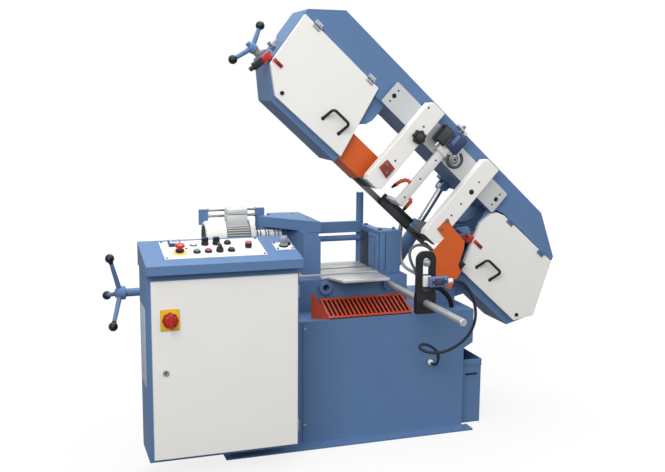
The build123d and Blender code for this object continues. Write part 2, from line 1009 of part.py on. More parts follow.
# Quarter-turn latch of the cabinet door
with BuildPart() as door_latch:
    with BuildSketch(front_plane(door_face - gap)):
        with Locations((latch_x, latch_z)):
            Circle(latch_r)
    extrude(amount=latch_h)
    with BuildSketch(front_plane(door_face - gap - latch_h)):
        with Locations((latch_x, latch_z)):
            Rectangle(latch_r, latch_r / 4)
    extrude(amount=-latch_h / 2, mode=Mode.SUBTRACT)
save(door_latch, "door_latch")

# White console plates
with BuildPart() as console_plates:
    with BuildSketch(console_plane()):
        with Locations(((panel_left + panel_right) / 2, (panel_low + panel_high) / 2)):
            Rectangle(panel_right - panel_left, panel_high - panel_low)
        with Locations(((flow_left + flow_right) / 2, (flow_low + flow_high) / 2)):
            Rectangle(flow_right - flow_left, flow_high - flow_low)
    extrude(amount=panel_t)
save(console_plates, "console_plates")

# Fixed fittings of the console: rings, emergency stop plate, meter, lamp
with BuildPart() as panel_fittings:
    with BuildSketch(console_plane(panel_t)):
        with Locations(
            (column_1, row_low),
            (column_2, row_low),
            (column_4, row_low),
            (column_4, row_high),
        ):
            Circle(ring_r)
            Circle(cap_r + gap, mode=Mode.SUBTRACT)
    extrude(amount=ring_h)
    with BuildSketch(console_plane(panel_t)):
        with Locations((column_2, row_high), (column_3, row_high), (column_3, row_low), (speed_x, speed_y)):
            Circle(ring_r)
        with Locations((flow_x, flow_y)):
            Circle(flow_r + panel_t)
        with Locations((estop_x, estop_y)):
            Circle(estop_plate_r)
    extrude(amount=press)
    with BuildSketch(console_plane(panel_t)):
        with Locations((meter_x, meter_y)):
            Rectangle(meter_w, meter_w)
        with Locations((column_1, row_high)):
            Circle(ring_r)
    extrude(amount=meter_h)
save(panel_fittings, "panel_fittings")

# Emergency stop mushroom
with BuildPart() as estop_button:
    with BuildSketch(console_plane(panel_t + 2 * press + gap)):
        with Locations((estop_x, estop_y)):
            Circle(estop_stem_r)
    extrude(amount=estop_stem_h)
    with BuildSketch(console_plane(panel_t + 2 * press + gap + estop_stem_h)):
        with Locations((estop_x, estop_y)):
            Circle(estop_r)
    extrude(amount=estop_cap_h)
    fillet(estop_button.faces().sort_by(Axis.Z)[-1].edges(), radius=estop_round)
save(estop_button, "estop_button")

# Push-buttons, each free to travel inside its ring
for button_name, button_x, button_y in (
    ("start_button", column_1, row_low),
    ("stop_button", column_2, row_low),
    ("jog_button", column_4, row_low),
    ("coolant_button", column_4, row_high),
):
    with BuildPart() as push_button:
        with BuildSketch(console_plane(panel_t + press + gap)):
            with Locations((button_x, button_y)):
                Circle(cap_r)
        extrude(amount=cap_h)
        fillet(push_button.faces().sort_by(Axis.Z)[-1].edges(), radius=cap_round)
    save(push_button, button_name)

# Rotary selectors and the lever selector
for selector_name, selector_x, selector_y, reach in (
    ("selector_left", column_2, row_high, 0),
    ("selector_right", column_3, row_high, 0),
    ("lever_selector", column_3, row_low, lever_reach),
):
    with BuildPart() as selector:
        with BuildSketch(console_plane(panel_t + press + gap)):
            with Locations((selector_x, selector_y)):
                Circle(selector_r)
        extrude(amount=selector_h)
        with BuildSketch(console_plane(panel_t + press + gap + selector_h)):
            with Locations((selector_x, selector_y + reach / 2)):
                SlotOverall(2 * selector_r + reach, grip_w, rotation=90)
        extrude(amount=grip_h)
    save(selector, selector_name)

# Speed knob and the feed flow knob
with BuildPart() as speed_knob:
    with BuildSketch(console_plane(panel_t + press + gap)):
        with Locations((speed_x, speed_y)):
            Circle(speed_r)
    extrude(amount=speed_h)
    chamfer(speed_knob.faces().sort_by(Axis.Z)[-1].edges(), length=knob_chamfer)
save(speed_knob, "speed_knob")

with BuildPart() as flow_knob:
    with BuildSketch(console_plane(panel_t + press + gap)):
        with Locations((flow_x, flow_y)):
            Circle(flow_r)
    extrude(amount=flow_h)
    chamfer(flow_knob.faces().sort_by(Axis.Z)[-1].edges(), length=knob_chamfer)
save(flow_knob, "flow_knob")

# Power pack: tank with a long and a short tie plate, motor, cowl, pump and tie rods
tank_top = bed_top + tank_h
motor_z = tank_top + motor_foot + motor_r
tie_right = tank_right
with BuildPart() as pack_frame:
    with Locations(((tank_left + tank_right) / 2, back((tank_front + bed_back) / 2), bed_top + tank_h / 2)):
        Box(tank_right - tank_left, bed_back - tank_front, tank_h)
    plate_high = tank_top + tie_plate_h
    for plate_x, plate_foot in ((tie_left, plate_high - tie_short_h), (tie_right, bed_top)):
        with Locations((plate_x + tie_plate_t / 2, back(tie_back), (plate_foot + plate_high) / 2)):
            Box(tie_plate_t, tie_plate_w, plate_high - plate_foot)
    with Locations(((motor_left + motor_right) / 2, back(motor_back), tank_top + motor_foot / 2)):
        Box(box_len, motor_r, motor_foot)
    with BuildSketch(Plane.YZ.offset(tie_left + tie_plate_t)):
        with Locations((back(tie_back), bed_top + tie_low), (back(tie_back), bed_top + tie_high)):
            Circle(tie_r)
    extrude(amount=tie_right - tie_left - tie_plate_t)
save(pack_frame, "pack_frame")

with BuildPart() as pack_motor:
    with BuildSketch(Plane.YZ.offset(motor_left)):
        with Locations((back(motor_back), motor_z)):
            Circle(motor_r - motor_foot)
    extrude(amount=motor_right - motor_left)
    with BuildSketch(Plane.YZ.offset(motor_right)):
        with Locations((back(motor_back), motor_z)):
            Circle(motor_r)
    extrude(amount=flange_right - motor_right)
    with BuildSketch(Plane.YZ.offset(flange_right)):
        with Locations((back(motor_back), motor_z)):
            Circle(pump_r)
    extrude(amount=pump_right - flange_right)
    with Locations(((motor_left + motor_right) / 2, back(motor_back), motor_z + box_h / 2)):
        Box(box_len, box_w, box_h)
    with Locations(((motor_left + motor_right) / 2, back(motor_back), motor_z - motor_r / 2)):
        Box(box_len, motor_r, motor_r)
save(pack_motor, "pack_motor")

with BuildPart() as motor_cowl:
    with BuildSketch(Plane.YZ.offset(motor_left)):
        with Locations((back(motor_back), motor_z)):
            Circle(motor_r)
    extrude(amount=cowl_left - motor_left)
    fillet(motor_cowl.faces().sort_by(Axis.X)[0].edges(), radius=cowl_round)
save(motor_cowl, "motor_cowl")

# Length stop: chrome rod, sliding arm, probe switch, cable and gland
with BuildPart() as stop_rod:
    with BuildSketch(front_plane(rod_end)):
        with Locations((boss_right, boss_z)):
            Circle(rod_d / 2)
    extrude(amount=-(bed_front - boss_len + rod_grip - rod_end))
    chamfer(stop_rod.faces().sort_by(Axis.Y)[0].edges(), length=rod_chamfer)
save(stop_rod, "stop_rod")

with BuildPart() as stop_arm:
    stop_mid = (stop_high - stop_low) / 2
    with BuildSketch(front_plane(stop_front + stop_t / 2)):
        with Locations((boss_right, boss_z + stop_mid)):
            RectangleRounded(stop_w, stop_high + stop_low, stop_w / 2 - stop_flat)
        slot_mid = (stop_slot_low + stop_slot_high) / 2
        with Locations((boss_right, boss_z + slot_mid)):
            SlotOverall(stop_slot_high - stop_slot_low, stop_slot_w, rotation=90, mode=Mode.SUBTRACT)
    extrude(amount=stop_t)
    with BuildSketch(front_plane(stop_front + stop_foot_t / 2)):
        with Locations((boss_right, boss_z - (stop_low - stop_foot_h) / 2)):
            Rectangle(stop_w, stop_low + stop_foot_h)
    extrude(amount=stop_foot_t)
    with BuildSketch(front_plane(stop_front + stop_foot_t)):
        with Locations((boss_right, boss_z)):
            Circle(rod_d / 2 + run_fit)
    extrude(amount=2 * stop_foot_t, mode=Mode.SUBTRACT)
save(stop_arm, "stop_arm")

probe_front = stop_front - stop_t / 2 - clamp_t
probe_z = boss_z + clamp_z
probe_right = boss_right + probe_len
with BuildPart() as stop_switch:
    with BuildSketch(front_plane(stop_front - stop_t / 2)):
        with Locations((boss_right, probe_z)):
            Rectangle(clamp_w, clamp_h)
        with Locations((boss_right, boss_z + stop_knob_z)):
            Circle(stop_knob_r)
    extrude(amount=clamp_t)
    with BuildSketch(front_plane(probe_front)):
        with Locations(((boss_right + probe_right) / 2, probe_z)):
            Rectangle(probe_len, probe_h)
    extrude(amount=probe_t)
    with BuildSketch(Plane.YZ.offset(probe_right)):
        with Locations((back(probe_front - probe_t / 2), probe_z)):
            Circle(probe_nut_r)
    extrude(amount=probe_nut_len)
save(stop_switch, "stop_switch")

with BuildPart() as cable_gland:
    with BuildSketch(front_plane(0)):
        with Locations((gland_x, gland_z)):
            RegularPolygon(gland_r, 6)
    extrude(amount=gland_len / 2)
    with BuildSketch(front_plane(-gland_len / 2)):
        with Locations((gland_x, gland_z)):
            Circle(gland_r - gland_step)
    extrude(amount=gland_len / 2, taper=gland_taper)
save(cable_gland, "cable_gland")

# Route of the probe cable, from the switch to the gland, as X, distance behind the front sheet, Z
probe_tip = probe_right + probe_nut_len
cable_route = (
    (probe_tip, probe_front - probe_t / 2, probe_z),
    (probe_tip + cable_lead, probe_front - probe_t / 2, probe_z),
    *((boss_right + along, far, high) for along, far, high in cable_bends),
    (gland_x, -cable_drop, gland_z),
    (gland_x, -gland_len, gland_z),
)
cable_points = [Vector(x, back(distance), z) for x, distance, z in cable_route]
cable_radii = []
for before, corner, after in zip(cable_points, cable_points[1:], cable_points[2:]):
    half_turn = math.radians((corner - before).get_angle(after - corner)) / 2
    shorter = min((corner - before).length, (after - corner).length)
    cable_radii.append(arc_share * shorter / math.tan(half_turn))
print("cable radii", [round(radius) for radius in cable_radii])
with BuildPart() as switch_cable:
    with BuildLine() as cable_line:
        FilletPolyline(*cable_points, radius=cable_radii)
    with BuildSketch(Plane(origin=cable_points[0], z_dir=cable_points[1] - cable_points[0])):
        Circle(cable_d / 2)
    sweep(path=cable_line.wire())
save(switch_cable, "switch_cable")
cable_solid = math.pi * cable_d ** 2 / 4 * cable_line.wire().length
print("cable length", round(cable_line.wire().length), "volume ratio", switch_cable.part.volume / cable_solid)

# Pivot stand with the lift cylinder's foot, and the pivot shaft with the foot's pin
second_cheek = house_back + gap
with BuildPart() as pivot_stand:
    for cheek_front in (pivot_cheek_front, second_cheek):
        with BuildSketch(front_plane(cheek_front)):
            with Locations((pivot_x, pivot_z)):
                Circle(pivot_cheek_r)
            with Locations((pivot_x, (base_top + pivot_z) / 2)):
                Rectangle(2 * pivot_cheek_r, pivot_h)
            with Locations((pivot_x, base_top - pivot_h / 2)):
                Rectangle(2 * pivot_cheek_r, pivot_h, mode=Mode.SUBTRACT)
            with Locations((pivot_x, pivot_z)):
                Circle(pivot_d / 2, mode=Mode.SUBTRACT)
        extrude(amount=-cheek_thick)
    foot_half = lift_eye_w / 2 + gap
    for foot_front in (lift_back - foot_half - lift_plate_t, lift_back + foot_half):
        with BuildSketch(front_plane(foot_front)):
            with Locations((lift_x, (base_top + lift_z) / 2)):
                Rectangle(2 * lift_pin_d, lift_z - base_top)
            with Locations((lift_x, lift_z)):
                Circle(lift_pin_d)
            with Locations((lift_x, lift_z)):
                Circle(lift_pin_d / 2, mode=Mode.SUBTRACT)
        extrude(amount=-lift_plate_t)
save(pivot_stand, "pivot_stand")

with BuildPart() as pivot_shaft:
    with BuildSketch(front_plane(pivot_cheek_front)):
        with Locations((pivot_x, pivot_z)):
            Circle(pivot_d / 2)
    extrude(amount=-(second_cheek + cheek_thick - pivot_cheek_front))
    with BuildSketch(front_plane(lift_back - foot_half - lift_plate_t)):
        with Locations((lift_x, lift_z)):
            Circle(lift_pin_d / 2)
    extrude(amount=-2 * (foot_half + lift_plate_t))
save(pivot_shaft, "pivot_shaft")

# Outlines of the bow, along and across it
house_left = (
    (left_end - left_lean, left_high_n),
    (left_end + left_shoulder_w, top_n),
    (house_right_end, top_n),
    (house_right_end, door_top_n),
    (house_right_end + house_slant, blade_n),
    (house_right_end + house_slant, floor_n),
    (left_end + left_toe_w, floor_n),
    (left_end, left_low_n),
)
house_right = (
    (drive_left, top_n),
    (drive_u - right_top_in, top_n),
    (right_end - right_shoulder_w, top_n - right_shoulder_h),
    (right_end, floor_n + right_toe_h),
    (right_end - right_toe_w, floor_n),
    (drive_low_left, floor_n),
    (drive_low_left, blade_n),
    (drive_left, blade_n + drive_slant_h),
)
band_low_n = door_top_n + door_gap
band_outline = (
    (left_edge(band_low_n), band_low_n),
    (left_end - left_lean, left_high_n),
    (left_end + left_shoulder_w, top_n),
    (drive_u - right_top_in, top_n),
    (right_end - right_shoulder_w, top_n - right_shoulder_h),
    (right_end - right_shoulder_w + band_over, door_top_n + 2 * door_dip),
    *((drive_left + along, door_top_n + across) for along, across in drive_band_corner),
    (house_right_end + door_inset + band_slope, beam_low_n),
    (house_right_end + door_inset, band_low_n),
)

# Bow frame: box beam, two wheel housings, pivot lugs, lift bracket, carriage rails, screw bearing
with BuildPart() as bow_frame:
    for outline in (house_left, house_right):
        with BuildSketch(bow_plane(house_back)):
            Polygon(*outline, align=None)
        extrude(amount=house_back - house_front)
    with BuildSketch(bow_plane(beam_back)):
        with Locations(((house_right_end + drive_left) / 2, (beam_low_n + top_n) / 2)):
            Rectangle(drive_left - house_right_end + 2 * beam_wall, top_n - beam_low_n)
    extrude(amount=beam_back - house_front)
    with BuildSketch(bow_plane(house_front)):
        Polygon(*band_outline, align=None)
    extrude(amount=house_front - beam_front)
    for outline in (house_left, house_right):
        with BuildSketch(bow_plane(house_back - house_wall)):
            Polygon(*outline, align=None)
            offset(amount=-house_wall, kind=Kind.INTERSECTION, mode=Mode.REPLACE)
        extrude(amount=house_back - house_wall - house_front - house_lip_t, mode=Mode.SUBTRACT)
        with BuildSketch(bow_plane(house_front + house_lip_t)):
            Polygon(*outline, align=None)
            offset(amount=-house_lip, kind=Kind.INTERSECTION, mode=Mode.REPLACE)
        extrude(amount=house_lip_t, mode=Mode.SUBTRACT)
    with BuildSketch(bow_plane(house_front + gusset_t)):
        with Locations((house_right_end, beam_low_n)):
            Polygon(*gusset_outline, align=None)
    extrude(amount=gusset_t)
    with BuildSketch(bow_plane(beam_back - beam_wall)):
        with Locations(((house_right_end + drive_left) / 2, (beam_low_n + top_n) / 2)):
            Rectangle(
                drive_left - house_right_end + 6 * beam_wall,
                top_n - beam_low_n - 2 * beam_wall,
            )
    extrude(amount=beam_back - house_front - 2 * beam_wall, mode=Mode.SUBTRACT)
    with BuildSketch(bow_plane(mouth_back)):
        with Locations((house_right_end + house_slant, floor_n + house_wall + mouth_h / 2)):
            Rectangle(2 * house_slant, mouth_h)
        with Locations((drive_low_left, floor_n + house_wall + mouth_h / 2)):
            Rectangle(2 * house_slant, mouth_h)
    extrude(amount=mouth_back - mouth_front, mode=Mode.SUBTRACT)
    for lug_front_d in (pivot_cheek_front + cheek_thick + 2 * gap, house_back - bow_lug_t):
        with BuildSketch(bow_plane(lug_front_d)):
            Circle(lug_r)
            Polygon(
                (bow_lug_left, floor_n),
                (lug_r * math.cos(math.radians(lug_start)), lug_r * math.sin(math.radians(lug_start))),
                (lug_r * math.cos(math.radians(lug_finish)), lug_r * math.sin(math.radians(lug_finish))),
                (bow_lug_right, floor_n),
                align=None,
            )
            Circle(pivot_d / 2 + run_fit, mode=Mode.SUBTRACT)
        extrude(amount=-bow_lug_t)
    top_half = top_eye_w / 2 + gap
    bracket_n = lift_n + top_eye_r + bracket_clear
    with BuildSketch(bow_plane(beam_back)):
        with Locations((lift_u, bracket_n + bracket_h / 2)):
            Rectangle(bracket_w, bracket_h)
    extrude(amount=-(lift_back + top_half + bracket_t - beam_back))
    for bracket_front in (lift_back - top_half - bracket_t, lift_back + top_half):
        with BuildSketch(bow_plane(bracket_front)):
            with Locations((lift_u, lift_n)):
                Circle(top_eye_r)
            with Locations((lift_u, (lift_n + bracket_n) / 2)):
                Rectangle(2 * top_eye_r, bracket_n - lift_n)
        extrude(amount=-bracket_t)
    with BuildSketch(bow_plane(lift_back - top_half)):
        with Locations((lift_u, lift_n)):
            Circle(lift_pin_d / 2)
    extrude(amount=-2 * top_half)
    carriage_top = wheel_n + carriage_high + gap
    carriage_bottom = wheel_n - carriage_low - gap
    with BuildSketch(bow_plane(house_back - house_wall)):
        with Locations(
            (idler_u, carriage_top + carriage_rail / 2),
            (idler_u, carriage_bottom - carriage_rail / 2),
        ):
            Rectangle(carriage_len + 2 * carriage_over, carriage_rail)
    extrude(amount=house_back - house_wall - carriage_front)
    with BuildSketch(bow_section(left_end + tension_sink, tension_n, tension_back)):
        Rectangle(tension_block, tension_block)
    extrude(amount=-tension_block_len)
    with BuildSketch(bow_section(left_end + tension_block_len, tension_n, tension_back)):
        Circle(tension_d / 2 + run_fit)
    extrude(amount=-3 * tension_block_len, mode=Mode.SUBTRACT)
    with BuildSketch(bow_plane(house_back + house_wall)):
        with Locations((drive_u, wheel_n)):
            Circle(drive_shaft_d / 2 + run_fit)
    extrude(amount=4 * house_wall, mode=Mode.SUBTRACT)
save(bow_frame, "bow_frame")

# Wheel doors, folded trays hung from the beam's edge
idler_outline = (
    (left_edge(door_top_n) + door_inset / 2, door_top_n - door_play),
    (house_right_end, door_top_n - door_play),
    (house_right_end + house_slant, blade_n + door_play),
    (left_end + left_toe_w - door_inset, blade_n - door_dip),
    (left_end + door_inset, left_low_n + door_inset),
)
drive_outline = (
    *((drive_left + along, door_top_n + across) for along, across in drive_door_corner),
    (right_end - right_shoulder_w + door_inset / 2, door_top_n + door_dip),
    (right_end - door_inset, floor_n + right_toe_h + door_inset),
    (right_end - right_toe_w + door_inset, blade_n + door_dip),
    (drive_low_left, blade_n + door_dip),
    (drive_left + door_inset / 2, blade_n + drive_slant_h),
)
for door_name, outline in (("idler_door", idler_outline), ("drive_door", drive_outline)):
    with BuildPart() as wheel_door:
        with BuildSketch(bow_plane(door_front + wheel_door_t)):
            Polygon(*outline, align=None)
        extrude(amount=wheel_door_t)
        chamfer(wheel_door.faces().sort_by(Axis.Y)[0].edges(), length=edge_break)
        with BuildSketch(bow_plane(door_front + wheel_door_t)):
            Polygon(*outline, align=None)
            offset(amount=-door_skin, kind=Kind.INTERSECTION, mode=Mode.REPLACE)
        extrude(amount=wheel_door_t - door_skin, mode=Mode.SUBTRACT)
    save(wheel_door, door_name)

# Door fittings: bent handle, key lock and the interlock's key
idler_lock_point = (left_end + idler_lock[0], blade_n + idler_lock[1])
idler_key_point = (left_end + idler_key[0], blade_n + idler_key[1])
drive_lock_point = (right_end - drive_lock[0], blade_n + drive_lock[1])
drive_key_point = (drive_left + drive_key[0], blade_n + drive_key[1])
for fittings_name, handle_u, lock_point, key_point in (
    ("idler_fittings", idler_handle_u, idler_lock_point, idler_key_point),
    ("drive_fittings", drive_handle_u, drive_lock_point, drive_key_point),
):
    with BuildPart() as door_fittings:
        handle_low = blade_n + handle_n
        handle_left = handle_u - handle_len / 2
        handle_right = handle_u + handle_len / 2
        handle_points = (
            bow_point(handle_left, handle_low - handle_r, door_front + handle_r * handle_out / handle_up),
            bow_point(handle_left, handle_low + handle_up, door_front - handle_out),
            bow_point(handle_right, handle_low + handle_up, door_front - handle_out),
            bow_point(handle_right, handle_low - handle_r, door_front + handle_r * handle_out / handle_up),
        )
        with BuildLine() as handle_line:
            FilletPolyline(*handle_points, radius=handle_bend)
        with BuildSketch(Plane(origin=handle_points[0], z_dir=handle_points[1] - handle_points[0])):
            Circle(handle_r)
        sweep(path=handle_line.wire())
        with BuildSketch(bow_plane(door_front)):
            with Locations(lock_point):
                Circle(lock_r)
            with Locations(key_point):
                Rectangle(5 * lock_r, 2 * lock_r)
        extrude(amount=lock_h)
        split(bisect_by=bow_plane(door_front), keep=Keep.TOP)
    save(door_fittings, fittings_name)

# Hinge barrels on the beam for both wheel doors
with BuildPart() as door_hinges:
    hinge_n = door_top_n + door_gap
    for hinge_u in (
        left_end + idler_hinge_in,
        house_right_end - idler_hinge_in,
        drive_left + drive_hinge_left,
        right_end - drive_hinge_right,
    ):
        with BuildSketch(bow_section(hinge_u - door_hinge_len / 2, hinge_n, hinge_front)):
            Circle(door_hinge_r)
        extrude(amount=door_hinge_len)
        with BuildSketch(bow_plane(beam_front)):
            with Locations((hinge_u, hinge_n + leaf_rise)):
                Rectangle(door_hinge_len, leaf_h)
        extrude(amount=beam_front - hinge_front)
        with BuildSketch(bow_plane(hinge_front + leaf_t / 2)):
            with Locations((hinge_u, hinge_n + leaf_reach / 2)):
                Rectangle(door_hinge_len, leaf_reach)
        extrude(amount=leaf_t)
save(door_hinges, "door_hinges")

# Interlock switches beside both wheel doors, and the feed sensor's bracket and switch boxes
bar_left = probe_bar_u
bar_right = probe_bar_u + probe_bar_w
with BuildPart() as limit_switches:
    slope_right = (drive_left - drive_low_left) / drive_slant_h
    left_high = left_low_n + interlock_head
    left_foot = left_end - interlock_lean
    left_low = left_low_n - interlock_drop
    right_low = blade_n + interlock_rise
    right_high = right_low + interlock_len
    right_foot = drive_low_left + slope_right * interlock_rise
    right_head = right_foot + slope_right * interlock_len
    with BuildSketch(bow_plane(house_front + interlock_back)):
        Polygon(
            (left_end, left_low_n),
            (left_edge(left_high), left_high),
            (left_edge(left_high) - interlock_w, left_high + interlock_tilt),
            (left_foot - interlock_w, left_low + interlock_tilt),
            (left_foot, left_low),
            align=None,
        )
        Polygon(
            (right_foot, right_low),
            (right_head, right_high),
            (right_head - interlock_w, right_high - interlock_tilt),
            (right_foot - interlock_w, right_low - interlock_tilt),
            align=None,
        )
    extrude(amount=interlock_t)
    wall_mid = rail_n + rail_h / 2
    with BuildSketch(bow_plane(rail_front)):
        with Locations(
            (bar_left - gap - probe_wall / 2, wall_mid),
            (bar_right + gap + probe_wall / 2, wall_mid),
        ):
            Rectangle(probe_wall, probe_wall_h)
    extrude(amount=rail_front - probe_bar_front + gap)
    with BuildSketch(bow_plane(probe_bar_front - gap)):
        with Locations(((bar_left + bar_right) / 2, wall_mid)):
            Rectangle(probe_bar_w + 2 * gap + 2 * probe_wall, probe_wall_h)
    extrude(amount=probe_cover)
    with BuildSketch(bow_plane(rail_front)):
        with Locations((bar_left - side_box_out, wall_mid + side_box_up)):
            Rectangle(side_box_w, side_box_h)
    extrude(amount=rail_front - side_box_front)
    with BuildSketch(bow_plane(probe_bar_front - gap - probe_cover)):
        with Locations(((bar_left + bar_right) / 2 + front_box_in, wall_mid + front_box_up)):
            Rectangle(front_box_w, front_box_h)
    extrude(amount=front_box_t)
save(limit_switches, "limit_switches")

# Band wheels: rim with a lip, thin web with round windows, hub
for wheel_name, wheel_u in (("idler_wheel", idler_u), ("drive_wheel", drive_u)):
    with BuildPart() as band_wheel:
        half = wheel_w / 2
        web = wheel_web / 2
        rim_in = wheel_r - wheel_rim
        hub_half = wheel_hub_len / 2
        with BuildSketch(bow_section(wheel_u, wheel_n, blade_back)):
            Polygon(
                (-half, rim_in),
                (-half, wheel_r),
                (half, wheel_r),
                (half, wheel_r + wheel_lip),
                (half + wheel_lip_w, wheel_r + wheel_lip),
                (half + wheel_lip_w, rim_in),
                (web, rim_in),
                (web, wheel_hub_r),
                (hub_half, wheel_hub_r),
                (hub_half, 0),
                (-hub_half, 0),
                (-hub_half, wheel_hub_r),
                (-web, wheel_hub_r),
                (-web, rim_in),
                align=None,
            )
        revolve(axis=Axis(bow_point(wheel_u, wheel_n, blade_back), (0, 1, 0)))
        with BuildSketch(bow_plane(blade_back + half)):
            with Locations((wheel_u, wheel_n)):
                with PolarLocations((rim_in + wheel_hub_r) / 2, wheel_windows):
                    Circle(wheel_window_r)
        extrude(amount=wheel_w, mode=Mode.SUBTRACT)
        if wheel_name == "idler_wheel":
            with BuildSketch(bow_plane(blade_back + hub_half)):
                with Locations((wheel_u, wheel_n)):
                    Circle(axle_d / 2 + run_fit)
            extrude(amount=wheel_hub_len, mode=Mode.SUBTRACT)
        else:
            with BuildSketch(bow_plane(blade_back + hub_half)):
                with Locations((wheel_u, wheel_n)):
                    Circle(drive_shaft_d / 2)
            extrude(amount=-(house_back - gap - blade_back - hub_half))
    save(band_wheel, wheel_name)

# Endless band: flat round both wheels, twisted upright through the cutting zone
with BuildPart() as band_blade:
    band_in = wheel_r + gap
    band_out = band_in + blade_t
    run_n = wheel_n - band_in - blade_t / 2
    with BuildSketch(bow_plane(blade_back + blade_w / 2)):
        with Locations(((idler_u + drive_u) / 2, wheel_n)):
            SlotCenterToCenter(drive_u - idler_u, 2 * band_out)
            SlotCenterToCenter(drive_u - idler_u, 2 * band_in, mode=Mode.SUBTRACT)
        with Locations(((twist_left + twist_right) / 2, wheel_n - band_in)):
            Rectangle(twist_right - twist_left, wheel_r, mode=Mode.SUBTRACT)
    extrude(amount=blade_w)
    for flat_u, upright_u in ((twist_left, cut_left), (twist_right, cut_right)):
        for step in range(twist_steps + 1):
            share = step / twist_steps
            station = flat_u + (upright_u - flat_u) * share
            with BuildSketch(bow_section(station, run_n, blade_back).rotated((0, 0, 90 * share))):
                Rectangle(blade_w, blade_t)
        loft(ruled=True)
    with BuildSketch(bow_section(cut_left, run_n, blade_back)):
        Rectangle(blade_t, blade_w)
    extrude(amount=cut_right - cut_left)
save(band_blade, "band_blade")

# Tension carriage with the idler wheel's axle, and the tension handwheel with its screw
with BuildPart() as idler_carriage:
    carriage_back = house_back - house_wall - gap
    with BuildSketch(bow_plane(carriage_back)):
        with Locations((idler_u, wheel_n + (carriage_high - carriage_low) / 2)):
            Rectangle(carriage_len, carriage_high + carriage_low)
    extrude(amount=carriage_back - carriage_front)
    with BuildSketch(bow_plane(carriage_front)):
        with Locations((idler_u, wheel_n)):
            Circle(axle_d / 2)
    extrude(amount=carriage_front - blade_back + wheel_hub_len / 2)
    with BuildSketch(bow_section(idler_u - carriage_len / 2, tension_n, tension_back)):
        Circle(tension_d / 2 + gap)
    extrude(amount=carriage_len - tension_d, mode=Mode.SUBTRACT)
save(idler_carriage, "idler_carriage")

with BuildPart() as tension_handwheel:
    tension_face = left_end + tension_sink - tension_block_len - tension_gap
    with BuildSketch(bow_section(tension_face, tension_n, tension_back)):
        Circle(tension_hub_r)
    extrude(amount=-tension_hub_len)
    with BuildSketch(bow_section(tension_face, tension_n, tension_back)):
        Circle(tension_d / 2)
    extrude(amount=idler_u - tension_face)
    tension_mid = tension_face - tension_hub_len / 2
    tension_hub = bow_point(tension_mid, tension_n, tension_back)
    for number in range(tension_arms):
        turn = math.radians(tension_turn + 360 / tension_arms * number)
        grip = bow_point(
            tension_mid - tension_dish,
            tension_n + math.cos(turn) * tension_reach,
            tension_back + math.sin(turn) * tension_reach,
        )
        with BuildSketch(Plane(origin=tension_hub, z_dir=grip - tension_hub)):
            Circle(spoke_r)
        extrude(amount=(grip - tension_hub).length)
        with Locations(grip):
            Sphere(tension_ball_r)
save(tension_handwheel, "tension_handwheel")

# Drive unit on the back of the right housing: gearbox and motor
with BuildPart() as drive_unit:
    with BuildSketch(bow_plane(house_back)):
        with Locations((drive_u, wheel_n)):
            Rectangle(gear_w, gear_h)
    extrude(amount=-gear_deep)
    gear_left = drive_u - gear_w / 2
    with BuildSketch(bow_section(gear_left, wheel_n + drive_motor_n, house_back + drive_motor_deep)):
        Circle(drive_motor_r)
    extrude(amount=drive_motor_left - gear_left)
save(drive_unit, "drive_unit")

# Flat rail on the beam that carries the blade guides
with BuildPart() as guide_rail:
    rail_mid = (rail_left + rail_right) / 2
    rail_len = rail_right - rail_left
    with BuildSketch(bow_plane(rail_front + rail_t)):
        with Locations((rail_mid, rail_n + rail_h / 2)):
            RectangleRounded(rail_len, rail_h, rail_corner)
            with GridLocations(rail_len - 2 * rail_hole_in, 0, 2, 1):
                Circle(rail_hole_r, mode=Mode.SUBTRACT)
    extrude(amount=rail_t)
    with BuildSketch(bow_plane(beam_front)):
        with Locations((rail_mid, rail_n + rail_h / 2)):
            Rectangle(rail_len - 4 * spacer_inset, rail_h - 2 * spacer_inset)
    extrude(amount=beam_front - rail_front - rail_t)
save(guide_rail, "guide_rail")

